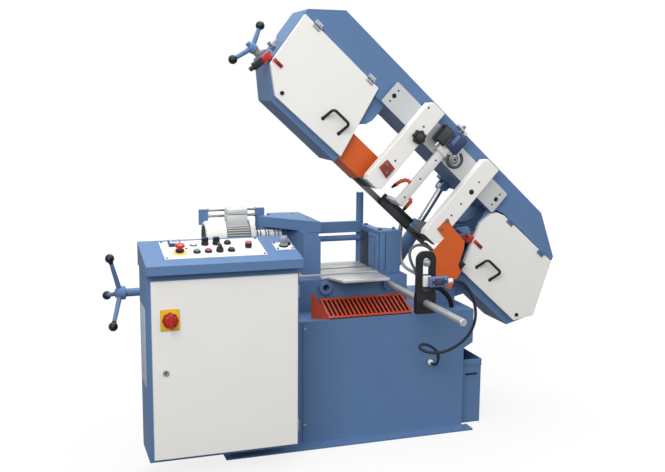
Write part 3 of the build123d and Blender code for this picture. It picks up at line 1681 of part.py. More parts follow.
# Blade guide arms with their slotted guide blocks: the left one slides, the right one is fixed
for arm_name, arm_u, arm_rear in (
    ("guide_arm_left", left_arm_u, rail_front - gap),
    ("guide_arm_right", right_arm_u, rail_front),
):
    with BuildPart() as guide_arm:
        arm_top = beam_low_n + guide_arm_top
        arm_low = blade_n - guide_arm_low
        arm_end = arm_u + arm_w
        with BuildSketch(bow_plane(arm_rear)):
            Polygon(
                (arm_u, arm_top - arm_corner),
                (arm_u + arm_corner, arm_top),
                (arm_end, arm_top),
                (arm_end, arm_low + arm_corner),
                (arm_end - arm_corner, arm_low),
                (arm_u + arm_cut, arm_low),
                (arm_u, arm_low + 2 * arm_cut),
                align=None,
            )
        extrude(amount=arm_rear - guide_front)
        chamfer(guide_arm.faces().sort_by(Axis.Y)[0].edges(), length=arm_chamfer)
        with BuildSketch(bow_plane(block_back)):
            with Locations((arm_u + block_mid, blade_n + block_h / 2)):
                Rectangle(block_w, block_h)
        extrude(amount=block_back - arm_rear)
        blade_top = run_n + blade_w / 2 + slide_fit
        with BuildSketch(bow_plane(blade_back + blade_t / 2 + gap)):
            with Locations((arm_u + block_mid, blade_top - block_h / 2)):
                Rectangle(2 * block_w, block_h)
        extrude(amount=blade_t + 2 * gap, mode=Mode.SUBTRACT)
        if arm_name == "guide_arm_left":
            claw_u = arm_u + arm_w / 2
            rail_top = rail_n + rail_h
            claw_in = gap + claw_t / 2
            with BuildSketch(bow_plane(claw_back)):
                with Locations((claw_u, rail_top + claw_in), (claw_u, rail_n - claw_in)):
                    Rectangle(claw_w, claw_t)
            extrude(amount=claw_back - arm_rear)
            lip_h = claw_lip + gap + claw_t
            lip_in = gap + claw_t - lip_h / 2
            with BuildSketch(bow_plane(claw_back)):
                with Locations((claw_u, rail_top + lip_in), (claw_u, rail_n - lip_in)):
                    Rectangle(claw_w, lip_h)
            extrude(amount=claw_back - rail_front - rail_t - gap)
    save(guide_arm, arm_name)

# Star knob that clamps the left guide arm
with BuildPart() as guide_knob:
    with BuildSketch(bow_plane(guide_front - gap)):
        with Locations((left_arm_u + star_u, blade_n + star_n)):
            Circle(star_r)
            with PolarLocations(star_r + star_notch / 2, star_points):
                Circle(star_notch, mode=Mode.SUBTRACT)
    extrude(amount=star_h)
    chamfer(guide_knob.faces().sort_by(Axis.Y)[0].edges(), length=knob_chamfer)
save(guide_knob, "guide_knob")

# Blade guards on the two guide arms
with BuildPart() as left_guard:
    guard_right = left_arm_u + block_mid - block_w / 2
    guard_left = guard_right - left_guard_len
    guard_fold = blade_n - left_guard_fold
    guard_low = blade_n - left_guard_drop
    guard_rear = left_guard_d + guard_t
    with BuildSketch(bow_plane(guard_rear)):
        Polygon(
            (guard_left, blade_n + left_guard_h),
            (guard_right, blade_n + left_guard_h),
            (guard_right, guard_fold + left_guard_cut),
            (guard_right - left_guard_cut, guard_fold - left_guard_lip),
            (guard_left, guard_fold - left_guard_lip),
            align=None,
        )
    extrude(amount=guard_t)
    with BuildSketch(bow_section(guard_left, 0, 0)):
        Polygon(
            (guard_rear, guard_fold),
            (left_guard_knee, guard_low + left_guard_lip),
            (left_guard_back, guard_low + left_guard_lip),
            (left_guard_back, guard_low),
            (left_guard_knee, guard_low),
            (left_guard_d, guard_fold - left_guard_lip),
            (left_guard_d, guard_fold),
            align=None,
        )
    extrude(amount=left_guard_len - left_guard_cut)
save(left_guard, "left_guard")

with BuildPart() as right_guard:
    with BuildSketch(bow_plane(guide_front)):
        with Locations((right_arm_u, blade_n)):
            Polygon(*right_guard_outline, align=None)
    extrude(amount=guard_t)
save(right_guard, "right_guard")

# Feed sensor: sliding bar with a foot and two touch bars beside the blade
with BuildPart() as sensor_arm:
    bar_back_d = probe_bar_front + probe_bar_t
    bar_low_n = blade_n + touch_rise
    bar_mid = (bar_left + bar_right) / 2
    with BuildSketch(bow_plane(bar_back_d)):
        with Locations((bar_mid, (bar_low_n + probe_bar_top) / 2)):
            Rectangle(probe_bar_w, probe_bar_top - bar_low_n)
    extrude(amount=probe_bar_t)
    with BuildSketch(bow_plane(touch_back)):
        with Locations((bar_mid, bar_low_n + touch_h / 2)):
            Rectangle(probe_bar_w, touch_h)
    extrude(amount=touch_back - probe_bar_front)
    touch_mid = (touch_left + touch_right) / 2
    touch_len = touch_right - touch_left
    with BuildSketch(bow_plane(touch_back)):
        with Locations((touch_mid, bar_low_n + touch_h / 2)):
            Rectangle(touch_len, touch_h)
    extrude(amount=touch_back - touch_front)
    lip_low_n = blade_n - touch_drop
    with BuildSketch(bow_plane(touch_back)):
        with Locations((touch_mid, lip_low_n + touch_lip / 2)):
            Rectangle(touch_len, touch_lip)
        with Locations(
            (touch_left + touch_link / 2, (lip_low_n + bar_low_n) / 2),
            (touch_right - touch_link / 2, (lip_low_n + bar_low_n) / 2),
        ):
            Rectangle(touch_link, bar_low_n - lip_low_n)
    extrude(amount=touch_back - touch_low_front)
save(sensor_arm, "sensor_arm")

# Two bent coolant nozzles on the feed sensor
with BuildPart() as coolant_nozzles:
    for side_u, route in ((bar_left, left_nozzle), (bar_right, right_nozzle)):
        nozzle_points = [bow_point(side_u + along, blade_n + across, far) for along, across, far in route]
        with BuildLine() as nozzle_line:
            FilletPolyline(*nozzle_points, radius=nozzle_bend)
        with BuildSketch(Plane(origin=nozzle_points[0], z_dir=nozzle_points[1] - nozzle_points[0])):
            Circle(nozzle_r)
        sweep(path=nozzle_line.wire())
save(coolant_nozzles, "coolant_nozzles")

# Lift cylinder: barrel on the base's foot, rod on the beam's bracket
lift_base = Vector(lift_x, back(lift_back), lift_z)
lift_top = bow_point(lift_u, lift_n, lift_back)
lift_line = (lift_top - lift_base).normalized()


def lift_plane(distance):
    """Return a plane square to the lift cylinder, this far from its foot pin."""
    return Plane(origin=lift_base + lift_line * distance, x_dir=(0, 1, 0), z_dir=lift_line)


with BuildPart() as lift_barrel:
    with BuildSketch(front_plane(lift_back - lift_eye_w / 2)):
        with Locations((lift_x, lift_z)):
            Circle(lift_eye_r)
    extrude(amount=-lift_eye_w)
    with BuildSketch(lift_plane(0)):
        Rectangle(lift_eye_w, 2 * lift_eye_r)
    extrude(amount=barrel_foot)
    head_start = barrel_len - head_len
    with BuildSketch(lift_plane(barrel_start)):
        Circle(barrel_d / 2)
    extrude(amount=head_start - barrel_start)
    with BuildSketch(lift_plane(head_start)):
        Circle(head_d / 2)
    extrude(amount=head_len)
    with BuildSketch(lift_plane(barrel_foot)):
        Circle(barrel_bore / 2)
    extrude(amount=head_start - barrel_foot, mode=Mode.SUBTRACT)
    with BuildSketch(lift_plane(head_start)):
        Circle(head_hole / 2)
    extrude(amount=head_len, mode=Mode.SUBTRACT)
    with BuildSketch(front_plane(lift_back - lift_eye_w / 2)):
        with Locations((lift_x, lift_z)):
            Circle(lift_pin_d / 2 + run_fit)
    extrude(amount=-lift_eye_w, mode=Mode.SUBTRACT)
save(lift_barrel, "lift_barrel")

with BuildPart() as lift_rod:
    lift_len = (lift_top - lift_base).length
    with BuildSketch(bow_plane(lift_back - top_eye_w / 2)):
        with Locations((lift_u, lift_n)):
            Circle(top_eye_r)
    extrude(amount=-top_eye_w)
    with BuildSketch(lift_plane(lift_len)):
        Circle(lift_rod_d / 2)
    extrude(amount=-lift_rod_len)
    with BuildSketch(bow_plane(lift_back - top_eye_w / 2)):
        with Locations((lift_u, lift_n)):
            Circle(lift_pin_d / 2 + run_fit)
    extrude(amount=-top_eye_w, mode=Mode.SUBTRACT)
save(lift_rod, "lift_rod")
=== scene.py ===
"""Looks of a metal cutting band saw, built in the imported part's own frame (metres, +Z up)."""
import logging
import math
from dataclasses import dataclass
from enum import Enum
from typing import Optional, Sequence

import bmesh
import bpy
from mathutils import Matrix, Vector


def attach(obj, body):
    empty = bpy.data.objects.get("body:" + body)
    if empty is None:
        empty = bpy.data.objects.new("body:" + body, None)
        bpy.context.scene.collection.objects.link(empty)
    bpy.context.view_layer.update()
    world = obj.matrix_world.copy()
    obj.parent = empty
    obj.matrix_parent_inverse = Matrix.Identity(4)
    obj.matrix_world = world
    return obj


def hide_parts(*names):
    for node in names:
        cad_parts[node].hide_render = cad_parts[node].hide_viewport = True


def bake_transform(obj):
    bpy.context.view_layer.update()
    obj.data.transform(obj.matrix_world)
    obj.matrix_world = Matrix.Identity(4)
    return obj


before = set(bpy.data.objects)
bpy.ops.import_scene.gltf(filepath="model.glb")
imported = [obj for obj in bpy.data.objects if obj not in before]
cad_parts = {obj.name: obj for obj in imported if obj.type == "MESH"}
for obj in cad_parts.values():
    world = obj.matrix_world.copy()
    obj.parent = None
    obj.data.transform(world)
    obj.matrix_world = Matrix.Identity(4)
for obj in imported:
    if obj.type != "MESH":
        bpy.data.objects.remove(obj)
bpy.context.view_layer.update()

LOG = logging.getLogger("band_saw")

# One millimetre in the frame's metres. The lengths below are in millimetres.
MM = 0.001
# The base's front sheet, the bow's pivot and its angle at rest.
FRONT_Y = -280.0
PIVOT_X = 525.0
PIVOT_Z = 610.0
SWING_DEG = 42.25
# The console's slope: how far it reaches and rises, and the height of its front edge.
HOOD_REACH = 260.0
HOOD_RISE = 57.0
HOOD_EDGE_Z = 891.0
# Edges sharper than the first angle are softened, and past the second they stay sharp to the eye.
SOFTEN_DEG = 30.0
CREASE_DEG = 35.0
# How far an edge's normal bends where its pale band starts and is full, and how much of its colour shows
# there; the pale band is partly wear and partly a painted highlight.
EDGE_WEAR_AND_HIGHLIGHT_STARTS = 0.985
EDGE_WEAR_AND_HIGHLIGHT_FULL = 0.8
EDGE_WEAR_AND_HIGHLIGHT_SHOWS = 0.55
# Size of the chips that break up the pale edges, which are partly wear and partly a painted highlight.
CHIP_MM = 14.0
# The part of the cloud noise's range that the gloss follows.
CLOUD_LOW = 0.3
CLOUD_HIGH = 0.7
COAT_ROUGHNESS = 0.12
# Grain of moulded plastic and of hoses, drawn coarser than it is so that it shows.
MOULD_GRAIN_MM = 0.9
HOSE_GRAIN_MM = 1.2
# Steps along each span of a hose's curve, and the fineness of its round section.
CURVE_STEPS = 12
CURVE_ROUND = 4

Point = tuple[float, float, float] | Vector
Spot = tuple[float, float]

LEFT, RIGHT = (-1, 0, 0), (1, 0, 0)
FRONT, BACK = (0, -1, 0), (0, 1, 0)
UP = (0, 0, 1)


class Place(Enum):
    """The planes that pieces are drawn in, each in millimetres."""

    MACHINE = "x to the right, y back from the base's front sheet, z up"
    BOW = "x along the bow, y back from the base's front sheet, z across the bow"
    CONSOLE = "x to the right, y up the console's slope, z off it"

    def matrix(self) -> Matrix:
        """Find the way from the plane's millimetres to the frame's metres.

        Returns:
            The matrix that takes the one to the other.
        """
        small = Matrix.Scale(MM, 4)
        if self is Place.BOW:
            turn = Matrix.Rotation(math.radians(SWING_DEG), 4, "Y")
            return small @ Matrix.Translation((PIVOT_X, FRONT_Y, PIVOT_Z)) @ turn
        if self is Place.CONSOLE:
            turn = Matrix.Rotation(math.atan2(HOOD_RISE, HOOD_REACH), 4, "X")
            return small @ Matrix.Translation((0, FRONT_Y - HOOD_REACH, HOOD_EDGE_Z)) @ turn
        return small @ Matrix.Translation((0, FRONT_Y, 0))


def linear(colour: str) -> tuple[float, float, float, float]:
    """Turn an sRGB hex colour to linear.

    Args:
        colour: The colour as a hash and six hex digits.

    Returns:
        Linear red, green, blue and an alpha of 1.
    """
    parts = (int(colour[i:i + 2], 16) / 255 for i in (1, 3, 5))
    red, green, blue = (c / 12.92 if c <= 0.04045 else ((c + 0.055) / 1.055) ** 2.4 for c in parts)
    return red, green, blue, 1.0


def add_node(tree: bpy.types.NodeTree, kind: str, inputs: Optional[dict] = None,
             **settings: object) -> bpy.types.Node:
    """Add a shader node with its settings, values and links.

    Args:
        tree: The node tree that takes it.
        kind: Blender's name of the node.
        inputs: Socket name or number to a value, or to the output socket that feeds it.
        **settings: Properties of the node itself.

    Returns:
        The new node.
    """
    node = tree.nodes.new(kind)
    for name, value in settings.items():
        setattr(node, name, value)
    for socket, value in (inputs or {}).items():
        if isinstance(value, bpy.types.NodeSocket):
            tree.links.new(value, node.inputs[socket])
        else:
            node.inputs[socket].default_value = value
    return node


@dataclass(frozen=True)
class Finish:
    """A surface: its colour and gloss, and the fine pattern that its making leaves."""

    name: str
    colour: str
    roughness: float = 0.4
    metallic: float = 0.0
    grain_mm: float = 3.0
    relief_mm: float = 0.05
    mottle_mm: float = 160.0
    mottle: float = 0.05
    gloss_change: float = 0.06
    streak_mm: float = 0.0
    streak_turn: float = 0.0
    edge_mm: float = 1.2
    edge_wear_and_highlight_colour: str = ""
    coat: float = 0.0
    specular: float = 0.35
    far_mm: float = 0.0
    far_colour: str = ""

    def material(self) -> bpy.types.Material:
        """Return this finish as a procedural material, made once."""
        made = bpy.data.materials.get(self.name)
        return made or self.make()

    def make(self) -> bpy.types.Material:
        """Build the material's nodes.

        Returns:
            The new material.
        """
        surface = bpy.data.materials.new(self.name)
        surface.use_nodes = True
        tree = surface.node_tree
        tree.nodes.clear()
        place = add_node(tree, "ShaderNodeTexCoord").outputs["Object"]
        if self.streak_mm:
            long_way = 1 / (self.streak_mm * MM)
            fine_way = 1 / (self.grain_mm * MM)
            turned = add_node(
                tree, "ShaderNodeMapping", {0: place, "Rotation": (0, math.radians(-self.streak_turn), 0)}
            )
            stretched = add_node(
                tree, "ShaderNodeMapping", {0: turned.outputs[0], "Scale": (long_way, fine_way, fine_way)}
            )
            grain = add_node(
                tree, "ShaderNodeTexNoise", {"Vector": stretched.outputs[0], "Scale": 1.0, "Detail": 4.0}
            )
        else:
            grain = add_node(
                tree, "ShaderNodeTexNoise",
                {"Vector": place, "Scale": 1 / (self.grain_mm * MM), "Detail": 2.0},
            )
        cloud = add_node(
            tree, "ShaderNodeTexNoise", {"Vector": place, "Scale": 1 / (self.mottle_mm * MM), "Detail": 4.0}
        )
        base = linear(self.colour)
        dark = tuple(c * (1 - self.mottle) for c in base[:3]) + (1.0,)
        light = tuple(min(c * (1 + self.mottle), 1.0) for c in base[:3]) + (1.0,)
        tone = add_node(
            tree, "ShaderNodeMix", {0: cloud.outputs["Fac"], 6: dark, 7: light}, data_type="RGBA"
        ).outputs[2]
        if self.streak_mm:
            tone = add_node(
                tree, "ShaderNodeMix", {0: grain.outputs["Fac"], 6: dark, 7: tone}, data_type="RGBA"
            ).outputs[2]
        rounded = add_node(tree, "ShaderNodeBevel", {"Radius": self.edge_mm * MM}, samples=4)
        # Pale edges: a painted highlight along the rounded edges, broken up by chips of wear.
        if self.edge_wear_and_highlight_colour:
            true_normal = add_node(tree, "ShaderNodeNewGeometry").outputs["Normal"]
            bent = add_node(
                tree, "ShaderNodeVectorMath", {0: rounded.outputs[0], 1: true_normal}, operation="DOT_PRODUCT"
            )
            rim = add_node(
                tree, "ShaderNodeMapRange",
                {"Value": bent.outputs["Value"], 1: EDGE_WEAR_AND_HIGHLIGHT_STARTS, 2: EDGE_WEAR_AND_HIGHLIGHT_FULL, 3: 0.0, 4: EDGE_WEAR_AND_HIGHLIGHT_SHOWS},
            )
            chips = add_node(
                tree, "ShaderNodeTexNoise", {"Vector": place, "Scale": 1 / (CHIP_MM * MM), "Detail": 5.0}
            )
            worn_and_highlit_edge = add_node(
                tree, "ShaderNodeMath", {0: rim.outputs[0], 1: chips.outputs["Fac"]}, operation="MULTIPLY"
            )
            tone = add_node(
                tree, "ShaderNodeMix", {0: worn_and_highlit_edge.outputs[0], 6: tone, 7: linear(self.edge_wear_and_highlight_colour)},
                data_type="RGBA",
            ).outputs[2]
        if self.far_colour:
            depth = add_node(tree, "ShaderNodeSeparateXYZ", {0: place}).outputs["Y"]
            far = (FRONT_Y + self.far_mm) * MM
            beyond = add_node(tree, "ShaderNodeMath", {0: depth, 1: far}, operation="GREATER_THAN").outputs[0]
            tone = add_node(
                tree, "ShaderNodeMix", {0: beyond, 6: tone, 7: linear(self.far_colour)}, data_type="RGBA"
            ).outputs[2]
        gloss = add_node(
            tree, "ShaderNodeMapRange",
            {"Value": cloud.outputs["Fac"], 1: CLOUD_LOW, 2: CLOUD_HIGH,
             3: self.roughness - self.gloss_change, 4: self.roughness + self.gloss_change},
        )
        bump = add_node(
            tree, "ShaderNodeBump",
            {"Height": grain.outputs["Fac"], "Distance": self.relief_mm * MM, "Normal": rounded.outputs[0]},
        )
        shader = add_node(
            tree, "ShaderNodeBsdfPrincipled",
            {"Base Color": tone, "Roughness": gloss.outputs[0], "Normal": bump.outputs[0],
             "Metallic": self.metallic, "Specular IOR Level": self.specular, "Coat Weight": self.coat,
             "Coat Roughness": COAT_ROUGHNESS},
        )
        add_node(tree, "ShaderNodeOutputMaterial", {"Surface": shader.outputs[0]})
        return surface


def moulding(name: str, colour: str, roughness: float, relief_mm: float = 0.015, **more: float) -> Finish:
    """Return a moulded plastic with the fine grain of a spark-eroded mould."""
    return Finish(f"{name}_moulding", colour, roughness, grain_mm=MOULD_GRAIN_MM, relief_mm=relief_mm, **more)


def hose_skin(name: str, colour: str, roughness: float, mottle: float = 0.1, **more: float) -> Finish:
    """Return a rubber or PVC skin with the faint grain that extrusion leaves."""
    return Finish(name, colour, roughness, grain_mm=HOSE_GRAIN_MM, relief_mm=0.03, mottle=mottle, **more)


# Two-part enamel on steel and castings: satin, with faint orange peel and slightly pale edges, partly wear
# and partly a painted highlight.
BLUE_ENAMEL = Finish("blue_enamel", "#5c7aa2", 0.46, edge_wear_and_highlight_colour="#93aed3", specular=0.14)
# A darker copy of the blue enamel: painted shade on the drive motor and gearbox, which sit in shadow behind
# the drive wheel.
SHADED_BLUE_ENAMEL = Finish("blue_enamel_painted_shade", "#3f5a78", 0.5, mottle=0.06, edge_wear_and_highlight_colour="#6f8db0", specular=0.1)
WHITE_ENAMEL = Finish("white_enamel", "#e8e7e4", mottle=0.02, edge_wear_and_highlight_colour="#f6f5f2")
# The guide arms are white in front, and their guide blocks behind are black oxide.
ARM_ENAMEL = Finish("white_arm_enamel", "#e8e7e4", mottle=0.02, edge_wear_and_highlight_colour="#f6f5f2", far_mm=91.0,
                    far_colour="#1b1c1f")
PALE_ENAMEL = Finish("pale_grey_enamel", "#d9dad8", mottle=0.03, edge_wear_and_highlight_colour="#f0f0ee")
PLATE_ENAMEL = Finish("blue_grey_enamel", "#aebccf", mottle=0.03, edge_wear_and_highlight_colour="#dfe6ef")
# Powder coat: a finer, drier peel than enamel.
ORANGE_COAT = Finish("orange_powder_coat", "#cd5a22", 0.42, grain_mm=1.6, edge_wear_and_highlight_colour="#e98a52")
RED_COAT = Finish("red_orange_powder_coat", "#b8452a", 0.44, grain_mm=1.6, mottle=0.07, edge_wear_and_highlight_colour="#d97a55")
BROWN_COAT = Finish("red_brown_powder_coat", "#8a3423", 0.46, grain_mm=1.6, mottle=0.08,
                    edge_wear_and_highlight_colour="#b3604a")
BLACK_COAT = Finish("black_satin_paint", "#17181b", 0.42, grain_mm=1.6, mottle=0.1, edge_wear_and_highlight_colour="#55585e")
# Metals, given by colour, roughness, metallic, grain, relief, and the size and depth of their mottle.
# Ground steel: fine streaks one way, drawn coarser than the real grit so that they show.
GROUND_STEEL = Finish("ground_steel", "#c4c5c3", 0.42, 0.55, 1.2, 0.02, 90.0, 0.08, streak_mm=60.0)
# Dark blue-grey steel: painted shade on the fixed jaw's face, which stands in shadow, and the dark lines of
# joints and seams.
SHADED_JAW_AND_JOINT_STEEL = Finish("jaw_steel_painted_shade_and_joints", "#2f3e53", 0.5, 0.1, 1.2, 0.03, 60.0, 0.1, streak_mm=40.0, specular=0.2)
BOW_STEEL = Finish("ground_rail_steel", "#c0c2c4", 0.42, 0.5, 1.2, 0.02, 90.0, 0.06, streak_mm=60.0,
                   streak_turn=SWING_DEG)
BAND_STEEL = Finish("band_steel", "#6f7276", 0.36, 0.85, 1.0, 0.015, 60.0, 0.1, streak_mm=40.0,
                    streak_turn=SWING_DEG)
# Hard chrome and drawn bar: bright and even, with hardly any pattern.
CHROME = Finish("hard_chrome", "#a3a7ab", 0.14, 1.0, 0.8, 0.0, 120.0, 0.02, gloss_change=0.02)
DRAWN_BAR = Finish("bright_drawn_bar", "#bcbfc0", 0.36, 0.6, 1.0, 0.01, 90.0, 0.05, specular=0.3)
# Zinc plate: a soft grey shine with small clouds.
ZINC = Finish("zinc_plate", "#a4a9af", 0.32, 0.9, 1.5, 0.01, 20.0, 0.08)
# Cast alloy, raw or thinly painted: dull, with the skin of its mould.
CAST_ALLOY = Finish("raw_cast_alloy", "#b4b6b6", 0.46, 0.55, 1.4, 0.05, 40.0, 0.08)
PALE_ALLOY = Finish("painted_alloy", "#cfd0ce", 0.45, 0.2, 1.4, 0.04, 40.0, 0.05)
DARK_ALLOY = Finish("shaded_alloy", "#6f7275", 0.5, 0.4, 1.4, 0.04, 40.0, 0.08)
# Black oxide and spring steel: satin, with a patchy sheen.
BLACK_STEEL = Finish("black_oxide_steel", "#1b1c1f", 0.38, 0.5, 1.0, 0.02, 15.0, 0.15)
SPRING_STEEL = Finish("cream_spring_washers", "#c9c2ad", 0.40, 0.5, 1.0, 0.02, 15.0, 0.1)
# Moulded plastics: a fine grain and soft gloss.
BLACK_PLASTIC = moulding("black", "#141518", 0.38, 0.02, mottle=0.1)
DARK_PLASTIC = moulding("dark_grey", "#33373d", 0.40, 0.02)
GREY_PLASTIC = moulding("grey", "#8e9499", 0.42, 0.02)
PALE_PLASTIC = moulding("pale", "#e4e4df", 0.36, mottle=0.02)
NAVY_PLASTIC = moulding("navy", "#2b3a5c", 0.36, 0.02)
SLATE_PLASTIC = moulding("slate_blue", "#5d6f95", 0.38, 0.02)
RED_PLASTIC = moulding("red", "#b3231f", 0.30, coat=0.2)
WINE_PLASTIC = moulding("dark_red", "#8e1d19", 0.32, coat=0.1)
PINK_PLASTIC = moulding("faded_red", "#a65560", 0.38)
GREEN_PLASTIC = moulding("grey_green", "#66807c", 0.38)
CREAM_PLASTIC = moulding("pale_yellow", "#e6cf6a", 0.36)
LAVENDER_PLASTIC = moulding("pale_blue", "#b9c2d6", 0.36)
YELLOW_PLASTIC = moulding("yellow", "#e2b01a", 0.34)
ORANGE_PLASTIC = moulding("orange", "#c9562a", 0.36)
# Rubber and PVC hoses: dull, with slightly uneven tone.
CABLE_JACKET = hose_skin("dark_pvc_jacket", "#2f343b", 0.6, 0.12, specular=0.1)
GREY_HOSE = hose_skin("grey_pvc_hose", "#6f7276", 0.50, 0.08)
PALE_HOSE = hose_skin("pale_pvc_hose", "#a9adb0", 0.46, 0.08)
DARK_HOSE = hose_skin("dark_grey_hose", "#3c3e41", 0.5)
BLACK_HOSE = hose_skin("black_rubber_hose", "#1a1b1d", 0.6, specular=0.12)
BLUE_HOSE = hose_skin("dark_blue_rubber_hose", "#2d4661", 0.6, 0.12, specular=0.12)

# Finish of each node that shows as it is.
NODE_FINISHES: dict[str, Finish] = {
    **dict.fromkeys((
        "base_frame", "vise_bed", "fixed_jaw", "rear_guides", "moving_jaw", "cabinet", "pack_frame",
        "pivot_stand", "pivot_shaft", "chip_bin", "bow_frame", "lift_barrel",
    ), BLUE_ENAMEL),
    **dict.fromkeys(("cabinet_door", "idler_door", "drive_door", "console_plates"), WHITE_ENAMEL),
    **dict.fromkeys(("guide_arm_left", "guide_arm_right"), ARM_ENAMEL),
    **dict.fromkeys(("left_guard", "right_guard"), ORANGE_COAT),
    "chip_grille": RED_COAT,
    **dict.fromkeys(("guide_rail", "idler_carriage"), BOW_STEEL),
    "band_blade": BAND_STEEL,
    "stop_rod": DRAWN_BAR,
    "lift_rod": CHROME,
    **dict.fromkeys(("idler_wheel", "drive_wheel"), CAST_ALLOY),
    "stop_arm": BLACK_COAT,
}


def ring_points(radius: float, count: int, at: Spot, lobe: float = 0.0, lobes: int = 0) -> list[Spot]:
    """Return the points of a circle, plain or with lobes.

    Args:
        radius: Mean radius.
        count: Number of points.
        at: The circle's middle.
        lobe: How far the lobes swing either side of the mean radius.
        lobes: Number of lobes.

    Returns:
        The points in order.
    """
    points = []
    for number in range(count):
        turn = 2 * math.pi * number / count
        reach = radius + lobe * math.cos(lobes * turn)
        points.append((at[0] + reach * math.cos(turn), at[1] + reach * math.sin(turn)))
    return points


def rounded_box(low: Spot, high: Spot, radius: float, steps: int = 4) -> list[Spot]:
    """Return the outline of a rectangle with round corners.

    Args:
        low: Its lowest corner.
        high: Its highest corner.
        radius: Radius of the corners.
        steps: Facets in each corner.

    Returns:
        The points in order.
    """
    points = []
    corners = ((high[0], high[1], 0), (low[0], high[1], 90), (low[0], low[1], 180), (high[0], low[1], 270))
    for x, y, start in corners:
        side_x = x - radius if x == high[0] else x + radius
        side_y = y - radius if y == high[1] else y + radius
        for step in range(steps + 1):
            turn = math.radians(start + 90 * step / steps)
            points.append((side_x + radius * math.cos(turn), side_y + radius * math.sin(turn)))
    return points


def bent_line(points: Sequence[Point], radius: float, steps: int = 6) -> list[Vector]:
    """Return a line whose corners are rounded to a radius.

    Args:
        points: The corners.
        radius: Radius of the bends.
        steps: Points in each bend.

    Returns:
        The line's points.
    """
    corners = [Vector(point) for point in points]
    line = [corners[0]]
    for before, corner, after in zip(corners, corners[1:], corners[2:]):
        back, ahead = (before - corner).normalized(), (after - corner).normalized()
        half = back.angle(ahead) / 2
        reach = radius / math.tan(half)
        middle = corner + (back + ahead).normalized() * radius / math.sin(half)
        first = corner + back * reach - middle
        last = corner + ahead * reach - middle
        for step in range(steps + 1):
            line.append(middle + first.slerp(last, step / steps).normalized() * radius)
    line.append(corners[-1])
    return line


